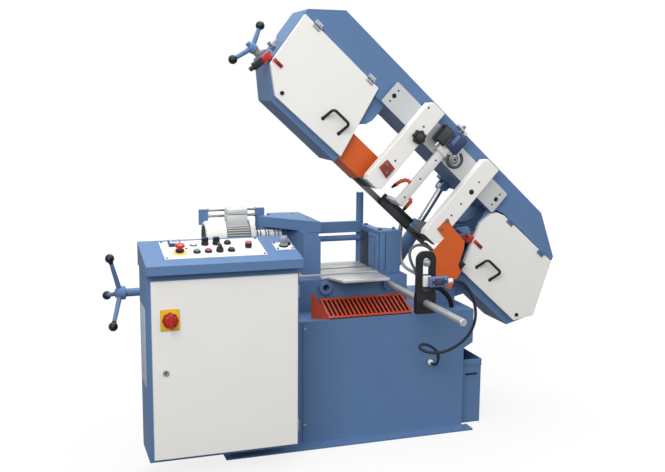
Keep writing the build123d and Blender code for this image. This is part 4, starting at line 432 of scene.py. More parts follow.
class Shape:
    """A piece under construction, in the millimetres of its place."""

    FIN_HALF: float = 1.5
    GRILLE_RINGS: Sequence[float] = (14, 26, 38, 50)
    GRILLE_HALF: float = 1.6
    GRILLE_SPOKES: int = 8

    def __init__(self, place: Place = Place.MACHINE) -> None:
        """Start an empty piece.

        Args:
            place: The plane that its numbers are in.
        """
        self.place = place
        self.mesh = bmesh.new()
        self.finishes: list[Finish] = []

    def join(self, part: bmesh.types.BMesh, finish: Finish, edge: float = 0.0) -> None:
        """Add a finished solid, with its sharp edges softened.

        Args:
            part: The solid, which is used up.
            finish: Its finish.
            edge: Width of the softened edges, or 0 to leave them.
        """
        if finish not in self.finishes:
            self.finishes.append(finish)
        bmesh.ops.remove_doubles(part, verts=part.verts, dist=0.001)
        bmesh.ops.recalc_face_normals(part, faces=part.faces)
        if edge:
            sharp = [line for line in part.edges
                     if len(line.link_faces) == 2 and line.calc_face_angle(0) > math.radians(SOFTEN_DEG)]
            bmesh.ops.bevel(part, geom=sharp, offset=edge, offset_type="OFFSET", affect="EDGES", segments=2,
                            profile=0.5, material=-1, clamp_overlap=True)
        number = self.finishes.index(finish)
        for face in part.faces:
            face.material_index = number
        data = bpy.data.meshes.new("part")
        part.to_mesh(data)
        part.free()
        self.mesh.from_mesh(data)
        bpy.data.meshes.remove(data)

    def block(self, finish: Finish, low: Point, high: Point, edge: float = 0.8) -> None:
        """Add a box between two corners.

        Args:
            finish: Its finish.
            low: Lowest corner.
            high: Highest corner.
            edge: Width of its softened edges.
        """
        part = bmesh.new()
        bmesh.ops.create_cube(part, size=1.0)
        size = Vector(high) - Vector(low)
        bmesh.ops.scale(part, verts=part.verts, vec=size)
        bmesh.ops.translate(part, verts=part.verts, vec=Vector(low) + size / 2)
        self.join(part, finish, edge)

    def turned(self, finish: Finish, profile: Sequence[Spot], at: Point, along: Point,
               steps: int = 40) -> None:
        """Add a turned solid, closed at its foot, or on its bore where neither end is on the axis.

        Args:
            finish: Its finish.
            profile: Radius and height of each point, from the foot to the top.
            at: The foot's middle.
            along: Direction of the axis.
            steps: Facets round the axis.
        """
        part = bmesh.new()
        outline = list(profile)
        (foot, low), (top, _) = outline[0], outline[-1]
        if foot and top:
            outline.append(outline[0])
        elif foot:
            outline.insert(0, (0.0, low))
        dots = [part.verts.new((radius, 0.0, height)) for radius, height in outline]
        lines = [part.edges.new(pair) for pair in zip(dots, dots[1:])]
        bmesh.ops.spin(part, geom=dots + lines, cent=(0, 0, 0), axis=(0, 0, 1), dvec=(0, 0, 0),
                       angle=2 * math.pi, steps=steps, use_merge=True, use_duplicate=False)
        turn = Vector(along).to_track_quat("Z", "Y").to_matrix().to_4x4()
        bmesh.ops.transform(part, verts=part.verts, matrix=Matrix.Translation(at) @ turn)
        self.join(part, finish)

    def rod(self, finish: Finish, start: Point, end: Point, radius: float, edge: float = 0.6,
            tip: Optional[float] = None, steps: int = 32) -> None:
        """Add a round bar between two points, straight or tapered.

        Args:
            finish: Its finish.
            start: Middle of one end.
            end: Middle of the other end.
            radius: Radius at the start.
            edge: Width of the softened rims.
            tip: Radius at the end if it tapers.
            steps: Facets round it.
        """
        line = Vector(end) - Vector(start)
        last = radius if tip is None else tip
        profile = ((0, 0), (radius - edge, 0), (radius, edge), (last, line.length - edge),
                   (last - edge, line.length), (0, line.length))
        self.turned(finish, profile, start, line, steps)

    def bolt(self, finish: Finish, at: Point, along: Point, radius: float, height: float) -> None:
        """Add a cap screw's head with its socket.

        Args:
            finish: Its finish.
            at: Middle of its foot.
            along: Direction that it faces.
            radius: Radius of the head.
            height: Height of the head.
        """
        sink = height * 0.45
        profile = ((radius, -0.2), (radius, height * 0.8), (radius * 0.86, height), (radius * 0.55, height),
                   (radius * 0.5, height - sink), (0, height - sink))
        self.turned(finish, profile, at, along, 18)

    def bolts(self, finish: Finish, spots: Sequence[Point], along: Point, radius: float,
              height: float) -> None:
        """Add a cap screw's head at each of the spots."""
        for spot in spots:
            self.bolt(finish, spot, along, radius, height)

    def ball(self, finish: Finish, at: Point, radius: float) -> None:
        """Add a ball.

        Args:
            finish: Its finish.
            at: Its middle.
            radius: Its radius.
        """
        part = bmesh.new()
        bmesh.ops.create_uvsphere(part, u_segments=32, v_segments=20, radius=radius)
        bmesh.ops.translate(part, verts=part.verts, vec=at)
        self.join(part, finish)

    def plate(self, finish: Finish, outline: Sequence[Spot], axis: str, start: float, end: float,
              edge: float = 0.6) -> None:
        """Add a solid with an even outline along one axis.

        Args:
            finish: Its finish.
            outline: The outline's points along the two other axes.
            axis: X, Y or Z.
            start: Where the solid starts on the axis.
            end: Where it ends.
            edge: Width of its softened edges.
        """
        number = "XYZ".index(axis)
        part = bmesh.new()
        face = part.faces.new([part.verts.new((*spot[:number], start, *spot[number:])) for spot in outline])
        grown = bmesh.ops.extrude_face_region(part, geom=[face])["geom"]
        move = Vector([end - start if name == axis else 0 for name in "XYZ"])
        bmesh.ops.translate(part, verts=[v for v in grown if isinstance(v, bmesh.types.BMVert)], vec=move)
        self.join(part, finish, edge)

    def fins(self, finish: Finish, middle: Spot, reach: Spot, start: float, end: float,
             count: int = 36) -> None:
        """Add even cooling fins round a motor that lies along X.

        Args:
            finish: Their finish.
            middle: The motor's axis along the two other axes.
            reach: Inner and outer radius.
            start: Where the fins start along X.
            end: Where they end.
            count: Number of fins.
        """
        inner, outer = reach
        for number in range(count):
            turn = 2 * math.pi * number / count
            side = Vector((math.cos(turn), math.sin(turn)))
            flat = Vector((-side.y, side.x)) * self.FIN_HALF
            corners = ((inner, -1), (outer, -1), (outer, 1), (inner, 1))
            outline = [Vector(middle) + side * far + flat * way for far, way in corners]
            self.plate(finish, [(spot.x, spot.y) for spot in outline], "X", start, end, 0.3)

    def cowl(self, finish: Finish, at: Point, radius: float, length: float) -> None:
        """Add a motor's fan cowl with its round grille, along -X.

        Args:
            finish: Its finish.
            at: Middle of its open end.
            radius: Its outer radius.
            length: Its length.
        """
        rim = radius - 15
        profile = ((rim, 0), (radius, 0), (radius, length - 12), (radius - 2, length - 5),
                   (radius - 8, length - 0.5), (rim, length))
        self.turned(finish, profile, at, LEFT, 56)
        x, y, z = at
        end = x - length
        self.turned(BLACK_PLASTIC, ((rim, 0), (rim, 2), (0, 2)), (end + 10, y, z), LEFT)
        for ring in self.GRILLE_RINGS:
            inner, outer = ring - self.GRILLE_HALF, ring + self.GRILLE_HALF
            outline = ((inner, 0), (outer, 0), (outer, 3), (inner, 3))
            self.turned(DARK_PLASTIC, outline, (end + 3.5, y, z), LEFT, 48)
        hub = (end + 2, y, z)
        for side_y, side_z in ring_points(rim + 1, self.GRILLE_SPOKES, (y, z)):
            self.rod(DARK_PLASTIC, hub, (end + 2, side_y, side_z), 1.8, 0.2, None, 8)

    def tube(self, finish: Finish, line: Sequence[Vector], radius: float, steps: int = 14) -> None:
        """Add a round tube along a line.

        Args:
            finish: Its finish.
            line: Points of its centreline.
            radius: Its radius.
            steps: Facets round it.
        """
        part = bmesh.new()
        side = Vector((0, 0, 1)) if abs((line[1] - line[0]).normalized().z) < 0.9 else Vector((1, 0, 0))
        before: list[bmesh.types.BMEdge] = []
        for number, spot in enumerate(line):
            ahead = (line[min(number + 1, len(line) - 1)] - line[max(number - 1, 0)]).normalized()
            side = (side - ahead * side.dot(ahead)).normalized()
            turn = Matrix((side, ahead.cross(side), ahead)).transposed().to_4x4()
            ring = bmesh.ops.create_circle(
                part, cap_ends=number in (0, len(line) - 1), segments=steps, radius=radius,
                matrix=Matrix.Translation(spot) @ turn,
            )["verts"]
            edges = list({edge for vertex in ring for edge in vertex.link_edges})
            if before:
                bmesh.ops.bridge_loops(part, edges=before + edges)
            before = edges
        self.join(part, finish)

    def done(self, name: str, body: str, stands_for: Sequence[str] = ()) -> bpy.types.Object:
        """Turn the piece into an object that rides on a body.

        Args:
            name: Name of the piece.
            body: The body that it moves with.
            stands_for: Nodes that it is shown instead of.

        Returns:
            The object.
        """
        self.mesh.transform(self.place.matrix())
        data = bpy.data.meshes.new(name)
        self.mesh.to_mesh(data)
        self.mesh.free()
        for finish in self.finishes:
            data.materials.append(finish.material())
        data.polygons.foreach_set("use_smooth", [True] * len(data.polygons))
        data.set_sharp_from_angle(angle=math.radians(CREASE_DEG))
        piece = bpy.data.objects.new(name, data)
        bpy.context.scene.collection.objects.link(piece)
        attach(piece, body)
        if stands_for:
            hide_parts(*stands_for)
        LOG.info("%s: %d faces on %s", name, len(data.polygons), body)
        return piece


@dataclass
class Studio:
    """Pale floor, soft light and the camera at the photograph's angle, in metres."""

    eye: Point = (-1.34253, -3.93697, 1.5525)
    yaw_deg: float = 18.853
    pitch_deg: float = 9.085
    roll_deg: float = 0.475
    lens_mm: float = 49.03
    sensor_mm: float = 36.0
    ambient: float = 0.42
    floor_size: float = 60.0
    floor_z: float = -0.0005
    floor_grey: str = "#686868"
    floor_glow: Spot = (0.82, 0.95)
    glow_reach: Spot = (1.2, 5.0)
    floor_mirror: float = 0.3
    lamp_size: float = 4.0
    lamp_aim: Point = (0.0, 0.0, 0.8)
    lamps: Sequence[tuple[str, Point, float]] = (
        ("key", (-3.0, -4.6, 4.0), 275.0), ("fill", (3.4, -3.4, 2.6), 56.0), ("top", (0.2, 0.6, 4.8), 195.0),
    )

    def build(self) -> None:
        """Make the camera, the world, the floor and the lamps."""
        scene = bpy.context.scene
        scene.view_settings.view_transform = "Standard"
        self.camera(scene)
        self.world(scene)
        self.floor()
        for name, place, power in self.lamps:
            self.lamp(name, place, power)

    def camera(self, scene: bpy.types.Scene) -> None:
        """Place the camera.

        Args:
            scene: The scene that uses it.
        """
        yaw = math.radians(self.yaw_deg)
        pitch = math.radians(self.pitch_deg)
        ahead = Vector((math.sin(yaw) * math.cos(pitch), math.cos(yaw) * math.cos(pitch), -math.sin(pitch)))
        level = Vector((math.cos(yaw), -math.sin(yaw), 0))
        upward = level.cross(ahead)
        roll = math.radians(self.roll_deg)
        right = level * math.cos(roll) + upward * math.sin(roll)
        turn = Matrix((right, right.cross(ahead), -ahead)).transposed().to_4x4()
        data = bpy.data.cameras.new("camera")
        data.sensor_fit = "HORIZONTAL"
        data.sensor_width = self.sensor_mm
        data.lens = self.lens_mm
        camera = bpy.data.objects.new("camera", data)
        camera.matrix_world = Matrix.Translation(self.eye) @ turn
        scene.collection.objects.link(camera)
        scene.camera = camera

    def seen(self, tree: bpy.types.NodeTree, mirror: float = 1.0) -> bpy.types.NodeSocket:
        """Return a socket that is 1 for what the eye or glass sees directly.

        Args:
            tree: The node tree that asks.
            mirror: The socket's value for what a shiny surface sees.

        Returns:
            The socket.
        """
        rays = add_node(tree, "ShaderNodeLightPath").outputs
        glossy = add_node(tree, "ShaderNodeMath", {0: rays["Is Glossy Ray"], 1: mirror}, operation="MULTIPLY")
        mirrored = add_node(
            tree, "ShaderNodeMath", {0: rays["Is Camera Ray"], 1: glossy.outputs[0]}, operation="MAXIMUM"
        )
        return add_node(
            tree, "ShaderNodeMath", {0: mirrored.outputs[0], 1: rays["Is Transmission Ray"]},
            operation="MAXIMUM",
        ).outputs[0]

    def world(self, scene: bpy.types.Scene) -> None:
        """Light the scene evenly and show white behind the object.

        Args:
            scene: The scene that uses it.
        """
        world = bpy.data.worlds.new("studio")
        world.use_nodes = True
        tree = world.node_tree
        tree.nodes.clear()
        soft = add_node(tree, "ShaderNodeBackground", {"Color": (1, 1, 1, 1), "Strength": self.ambient})
        white = add_node(tree, "ShaderNodeBackground", {"Color": (1, 1, 1, 1), "Strength": 1.0})
        mixed = add_node(
            tree, "ShaderNodeMixShader", {0: self.seen(tree), 1: soft.outputs[0], 2: white.outputs[0]}
        )
        add_node(tree, "ShaderNodeOutputWorld", {"Surface": mixed.outputs[0]})
        scene.world = world

    def floor(self) -> None:
        """Lay the pale floor, which keeps a soft shadow under the object."""
        shape = bmesh.new()
        bmesh.ops.create_grid(shape, x_segments=1, y_segments=1, size=self.floor_size / 2)
        data = bpy.data.meshes.new("floor")
        shape.to_mesh(data)
        shape.free()
        floor = bpy.data.objects.new("floor", data)
        floor.location.z = self.floor_z
        bpy.context.scene.collection.objects.link(floor)
        surface = bpy.data.materials.new("studio_floor")
        surface.use_nodes = True
        tree = surface.node_tree
        tree.nodes.clear()
        matt = add_node(tree, "ShaderNodeBsdfDiffuse", {"Color": linear(self.floor_grey)})
        place = add_node(tree, "ShaderNodeTexCoord").outputs["Object"]
        away = add_node(tree, "ShaderNodeVectorMath", {0: place}, operation="LENGTH").outputs["Value"]
        (near, far), (dim, bright) = self.glow_reach, self.floor_glow
        grown = add_node(tree, "ShaderNodeMapRange", {"Value": away, 1: near, 2: far, 3: dim, 4: bright})
        lift = add_node(
            tree, "ShaderNodeMath", {0: self.seen(tree, self.floor_mirror), 1: grown.outputs[0]},
            operation="MULTIPLY",
        )
        glow = add_node(tree, "ShaderNodeEmission", {"Color": (1, 1, 1, 1), "Strength": lift.outputs[0]})
        both = add_node(tree, "ShaderNodeAddShader", {0: matt.outputs[0], 1: glow.outputs[0]})
        add_node(tree, "ShaderNodeOutputMaterial", {"Surface": both.outputs[0]})
        data.materials.append(surface)

    def lamp(self, name: str, place: Point, power: float) -> None:
        """Hang a soft square lamp that faces the machine.

        Args:
            name: Name of the lamp.
            place: Its place.
            power: Its power in watts.
        """
        data = bpy.data.lights.new(name, "AREA")
        data.size = self.lamp_size
        data.energy = power
        lamp = bpy.data.objects.new(name, data)
        lamp.location = place
        lamp.rotation_euler = (Vector(self.lamp_aim) - Vector(place)).to_track_quat("-Z", "Y").to_euler()
        bpy.context.scene.collection.objects.link(lamp)


@dataclass
class Hose:
    """A cable or hose that hangs between two places, drawn as a smooth curve."""

    name: str
    place: Place
    route: Sequence[Point]
    diameter: float
    finish: Finish
    body: str
    far_body: str = ""
    stands_for: str = ""
    length: float = 0.0
    stiffness: str = "medium"

    def line(self, thickness: float) -> bpy.types.Mesh:
        """Return the route's smooth curve as a mesh.

        Args:
            thickness: Radius of the tube in metres, or 0 for its centreline.

        Returns:
            The mesh of the tube or the line.
        """
        place = self.place.matrix()
        data = bpy.data.curves.new(self.name, "CURVE")
        data.dimensions = "3D"
        data.resolution_u = CURVE_STEPS
        data.bevel_depth = thickness
        data.bevel_resolution = CURVE_ROUND
        data.use_fill_caps = True
        spline = data.splines.new("NURBS")
        spline.points.add(len(self.route) - 1)
        for point, spot in zip(spline.points, self.route):
            point.co = (*(place @ Vector(spot)), 1.0)
        spline.order_u = 3
        spline.use_endpoint_u = True
        holder = bpy.data.objects.new(self.name, data)
        mesh = bpy.data.meshes.new_from_object(holder)
        bpy.data.objects.remove(holder)
        return mesh

    def build(self) -> None:
        """Make the hose, fixed to one body, or left unattached where it runs between two."""
        path = [vertex.co.copy() for vertex in self.line(0.0).vertices]
        data = self.line(self.diameter * MM / 2)
        data.materials.clear()
        data.materials.append(self.finish.material())
        data.polygons.foreach_set("use_smooth", [True] * len(data.polygons))
        hose = bpy.data.objects.new(self.name, data)
        bpy.context.scene.collection.objects.link(hose)
        if self.far_body:
            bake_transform(hose)
        else:
            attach(hose, self.body)
        if self.stands_for:
            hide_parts(self.stands_for)


@dataclass
class ControlCabinet:
    """Hinges, side plate, main switch, lock and control gear of the cabinet."""

    hinge_at: Spot = (-311.7, -216.0)
    hinge_heights: Sequence[float] = (181.0, 751.0)
    knuckles: Sequence[Spot] = ((-23, -9), (-8, 8), (9, 23))
    knuckle_radius: float = 5.6
    pin_radius: float = 3.0
    pin_half: float = 26.0
    side_plate: tuple[Point, Point] = ((-923.0, -181, 388.5), (-921.9, -31, 708.5))
    door_face: float = -230.0
    switch_at: Spot = (-834.0, 673.0)
    switch_half: Spot = (38.0, 43.0)
    latch_at: Spot = (-854.0, 462.0)
    gear_plate: tuple[float, float, float, float] = (-880.0, -348.0, 170.0, 770.0)
    gear_face: float = -6.0
    gear_back: float = -3.1
    duct_wide: float = 40.0

    def build(self) -> None:
        """Make the cabinet's pieces."""
        self.trim()
        self.main_switch()
        self.lock()
        self.control_gear()

    def trim(self) -> None:
        """Make the door's hinges and the plate on the cabinet's side."""
        trim = Shape()
        x, y = self.hinge_at
        for middle in self.hinge_heights:
            for low, high in self.knuckles:
                trim.rod(ZINC, (x, y, middle + low), (x, y, middle + high), self.knuckle_radius)
            trim.rod(ZINC, (x, y, middle - self.pin_half), (x, y, middle + self.pin_half), self.pin_radius)
        trim.block(PLATE_ENAMEL, *self.side_plate, 0.4)
        corners = [(-922.9, back, high) for back in (-172, -40) for high in (398, 699)]
        trim.bolts(ZINC, corners, LEFT, 4.0, 2.0)
        trim.done("cabinet_trim", "base")

    def main_switch(self) -> None:
        """Make the main switch's yellow plate and its red knob."""
        x, z = self.switch_at
        wide, tall = self.switch_half
        front = self.door_face - 3
        plate = Shape()
        outline = rounded_box((x - wide, z - tall), (x + wide, z + tall), 6)
        plate.plate(YELLOW_PLASTIC, outline, "Y", self.door_face, front, 0.8)
        sides, ends = (7 - wide, wide - 7), (7 - tall, tall - 7)
        plate.bolts(ZINC, [(x + side, front, z + up) for side in sides for up in ends], FRONT, 3.0, 1.2)
        plate.done("switch_front", "door", ("switch_plate",))
        knob = Shape()
        lobes = ring_points(30, 96, self.switch_at, 1.6, 8)
        knob.plate(WINE_PLASTIC, lobes, "Y", front - 0.5, front - 13, 1.2)
        knob.turned(RED_PLASTIC, ((24, 0), (23, 6), (20, 7.5), (0, 7.5)), (x, front - 12.8, z), FRONT)
        knob.block(RED_PLASTIC, (x - 7.2, front - 35, z - 29), (x + 7.2, front - 13, z + 29), 2.2)
        knob.done("switch_grip", "main_switch", ("switch_knob",))

    def lock(self) -> None:
        """Make the door's lock with its slot."""
        x, z = self.latch_at
        face = self.door_face
        latch = Shape()
        profile = ((12, 0), (12, 5.5), (10.5, 7.5), (7.5, 7.5), (7.2, 4.5), (0, 4.5))
        latch.turned(ZINC, profile, (x, face - 0.3, z), FRONT)
        latch.block(BLACK_PLASTIC, (x - 1.6, face - 6.4, z - 6.4), (x + 1.6, face - 4.2, z + 6.4), 0.3)
        latch.done("door_lock", "latch", ("door_latch",))

    def control_gear(self) -> None:
        """Make the mounting plate inside, with its ducts, circuit breakers, contactors and terminals."""
        gear = Shape()
        left, right, low, high = self.gear_plate
        face, duct = self.gear_face, self.duct_wide
        root, rail = face + 0.5, face - 7.5
        gear.block(ZINC, (left, face, low), (right, self.gear_back, high), 0.5)
        inner_left, inner_right = left + 10 + duct, right - 10 - duct
        for x in (left + 10, inner_right):
            gear.block(GREY_PLASTIC, (x, face - 60, low + 12), (x + duct, root, high - 12), 1.5)
        for z in (low + 12, low + 232, low + 430):
            gear.block(GREY_PLASTIC, (inner_left, face - 59, z), (inner_right, root, z + duct), 1.5)
        terminals, contactors, breakers = low + 142, low + 351, low + 528
        for z in (terminals, contactors, breakers):
            gear.block(ZINC, (inner_left + 8, face - 8, z - 17), (inner_right - 8, root, z + 17))
        first = inner_left + 40
        for number in range(24):
            x, z = first + 8 * number, terminals
            finish = SLATE_PLASTIC if number % 6 == 5 else PALE_PLASTIC
            gear.block(finish, (x, face - 48, z - 26), (x + 7, rail, z + 26), 0.6)
        for number in range(4):
            x, z = first + 78 * number, contactors
            gear.block(DARK_PLASTIC, (x, face - 62, z - 40), (x + 46, rail, z + 40), 2.0)
            gear.block(PALE_PLASTIC, (x + 4, face - 88, z - 24), (x + 42, face - 61, z + 24), 2.0)
        for number in range(9):
            x, z = first + 18 * number, breakers
            gear.block(PALE_PLASTIC, (x, face - 50, z - 43), (x + 17.5, rail, z + 43), 1.0)
            gear.block(PALE_PLASTIC, (x, face - 68, z - 22), (x + 17.5, face - 49, z + 22), 1.0)
            gear.block(BLACK_PLASTIC, (x + 5, face - 76, z - 4), (x + 12.5, face - 67, z + 10), 1.0)
        gear.done("control_gear", "base")


@dataclass
class Console:
    """Buttons, selectors, lamp, meter and knobs on the sloping console."""

    columns: Sequence[float] = (-710.0, -664.0, -618.0, -571.0)
    low_row: float = 116.0
    high_row: float = 194.0
    top: float = 3.0
    foot: float = 7.3
    estop_at: Spot = (-777.0, 122.0)
    estop_foot: float = 11.3
    meter_at: Spot = (-785.0, 208.0)
    speed_at: Spot = (-497.0, 137.0)
    flow_at: Spot = (-349.0, 140.0)

    def build(self) -> None:
        """Make the console's pieces."""
        self.fittings()
        low, high = self.low_row, self.high_row
        c1, c2, c3, c4 = self.columns
        self.cap("start_cap", (c1, low), GREEN_PLASTIC, "start", "start_button")
        self.cap("stop_cap", (c2, low), PINK_PLASTIC, "stop", "stop_button")
        self.cap("jog_cap", (c4, low), DARK_PLASTIC, "jog", "jog_button")
        self.cap("coolant_cap", (c4, high), DARK_PLASTIC, "coolant", "coolant_button")
        self.selector("left_selector", (c2, high), "selector_1", "selector_left")
        self.selector("right_selector", (c3, high), "selector_2", "selector_right")
        self.selector("lever_grip", (c3, low), "lever", "lever_selector", 10.0)
        self.estop()
        self.knobs()

    def fittings(self) -> None:
        """Make the fixed fittings: screws, rings, lamp, meter and collars."""
        top = self.top
        low, high = self.low_row, self.high_row
        c1, c2, c3, c4 = self.columns
        fixed = Shape(Place.CONSOLE)
        screws = [(x, y, top) for x in (-834, -445) for y in (71, 234)]
        screws += [(x, y, top) for x in (-380, -318) for y in (111, 173)]
        fixed.bolts(BLACK_STEEL, screws + [(-744, 160, top)], UP, 4.6, 2.6)
        ring = ((15, 0), (15, 6), (13.8, 8), (12.2, 8), (11.9, 7), (11.9, 0.2), (0, 0.2))
        for spot in ((c1, low), (c2, low), (c3, low), (c4, low), (c2, high), (c3, high), (c4, high)):
            fixed.turned(BLACK_PLASTIC, ring, (*spot, top), UP)
        fixed.turned(BLACK_PLASTIC, ((15, 0), (15, 3), (14, 4), (0, 4)), (c1, high, top), UP)
        lamp = ((13, 0), (13, 8), (11, 11), (6, 13.5), (0, 14.5))
        fixed.turned(PALE_PLASTIC, lamp, (c1, high, top + 1), UP)
        x, y = self.meter_at
        fixed.block(NAVY_PLASTIC, (x - 24, y - 24, top), (x + 24, y + 24, top + 13), 2.0)
        fixed.block(LAVENDER_PLASTIC, (x - 18, y - 18, top + 12), (x + 18, y + 18, top + 14.6), 1.0)
        fixed.block(SLATE_PLASTIC, (x - 14, y - 5, top + 14), (x + 14, y + 12, top + 15), 0.3)
        x, y = self.estop_at
        fixed.turned(CREAM_PLASTIC, ((30, 0), (30, 3), (29, 4), (0, 4)), (x, y, top), UP, 56)
        collar = ((17, 0), (17, 9), (15.5, 10), (12.4, 10), (12, 9), (12, 0))
        fixed.turned(BLACK_PLASTIC, collar, (x, y, top + 3.8), UP)
        x, y = self.speed_at
        fixed.turned(PALE_PLASTIC, ((17.5, 0), (17.5, 2), (16.5, 3), (0, 3)), (x, y, top), UP)
        for turn in range(-120, 121, 24):
            bend = math.radians(turn)
            mark = (x + 21 * math.sin(bend), y + 21 * math.cos(bend), top)
            fixed.turned(DARK_PLASTIC, ((1.3, 0), (1.3, 0.5), (0, 0.5)), mark, UP, 10)
        x, y = self.flow_at
        fixed.turned(BLACK_STEEL, ((19, 0), (19, 3), (18, 4), (0, 4)), (x, y, top), UP)
        fixed.block(BLACK_STEEL, (x + 20, y + 2, top), (x + 31, y + 12, top + 12), 1.5)
        fixed.block(BLACK_STEEL, (x - 36, y - 2, top), (x - 24, y + 1, top + 0.8), 0.2)
        fixed.block(BLACK_STEEL, (x - 30, y - 18, top), (x - 22, y - 15, top + 0.8), 0.2)
        fixed.done("console_fittings", "base", ("panel_fittings",))

    def cap(self, name: str, at: Spot, finish: Finish, body: str, node: str) -> None:
        """Make a push button's cap.

        Args:
            name: Name of the piece.
            at: Its place on the console.
            finish: Its finish.
            body: Its body.
            node: The node that it stands for.
        """
        cap = Shape(Place.CONSOLE)
        profile = ((11.3, 0), (11.3, 7.6), (10.4, 8.8), (8.6, 9), (7.8, 8.2), (0, 7.9))
        cap.turned(finish, profile, (*at, self.foot), UP)
        cap.done(name, body, (node,))

    def selector(self, name: str, at: Spot, body: str, node: str, reach: float = 0.0) -> None:
        """Make a rotary selector with its grip.

        Args:
            name: Name of the piece.
            at: Its place on the console.
            body: Its body.
            node: The node that it stands for.
            reach: How far a lever's middle is off the axis, or 0 for a plain grip.
        """
        x, y = at
        knob = Shape(Place.CONSOLE)
        profile = ((11.6, 0), (11.6, 3), (14, 4), (14, 10.5), (12.5, 12), (0, 12))
        knob.turned(BLACK_PLASTIC, profile, (x, y, self.foot), UP)
        if reach:
            end = y + 12 + 2 * reach
            outline = ((y - 12, 18), (end, 18), (end - 2, 29), (y - 8, 33))
            knob.plate(BLACK_PLASTIC, outline, "X", x - 6.5, x + 6.5, 1.6)
        else:
            outline = ((x - 14, 18), (x + 14, 18), (x + 12.5, 34), (x - 12.5, 34))
            knob.plate(BLACK_PLASTIC, outline, "Y", y - 6.5, y + 6.5, 1.6)
        knob.block(DARK_PLASTIC, (x - 1, y - 4, 32), (x + 1, y + 4, 34.4), 0.2)
        knob.done(name, body, (node,))

    def estop(self) -> None:
        """Make the mushroom button with its three dots."""
        button = Shape(Place.CONSOLE)
        profile = ((11, 0), (11, 16), (17, 16.4), (19.6, 18), (20, 20.5), (19.2, 24.5), (15.5, 28),
                   (9, 29.6), (0, 30))
        button.turned(RED_PLASTIC, profile, (*self.estop_at, self.estop_foot), UP, 48)
        x, y = self.estop_at
        for turn in (30, 150, 270):
            bend = math.radians(turn)
            dot = (x + 12.5 * math.cos(bend), y + 12.5 * math.sin(bend), self.estop_foot + 28.8)
            button.turned(PALE_PLASTIC, ((1.8, 0), (1.6, 0.5), (0, 0.5)), dot, UP, 12)
        button.done("estop_mushroom", "estop", ("estop_button",))

    def knobs(self) -> None:
        """Make the speed knob and the flow knob."""
        speed = Shape(Place.CONSOLE)
        x, y = self.speed_at
        speed.plate(BLACK_PLASTIC, ring_points(13.6, 96, self.speed_at, 0.4, 24), "Z", self.foot, 26, 0.5)
        speed.turned(PINK_PLASTIC, ((12.8, 0), (12.8, 4), (11.4, 5.3), (0, 5.3)), (x, y, 25.9), UP)
        speed.block(PALE_PLASTIC, (x - 0.7, y + 3, 31), (x + 0.7, y + 10, 31.6), 0.2)
        speed.done("speed_grip", "speed", ("speed_knob",))
        flow = Shape(Place.CONSOLE)
        x, y = self.flow_at
        flow.plate(ZINC, ring_points(15.6, 120, self.flow_at, 0.3, 30), "Z", self.foot, 36, 0.4)
        flow.turned(ZINC, ((14.6, 0), (14.6, 6), (13.4, 8), (6, 8), (5.5, 7), (0, 7)), (x, y, 35.9), UP)
        flow.block(BLACK_STEEL, (x - 1, y + 13.2, 12), (x + 1, y + 16.2, 34), 0.3)
        flow.done("flow_grip", "flow", ("flow_knob",))


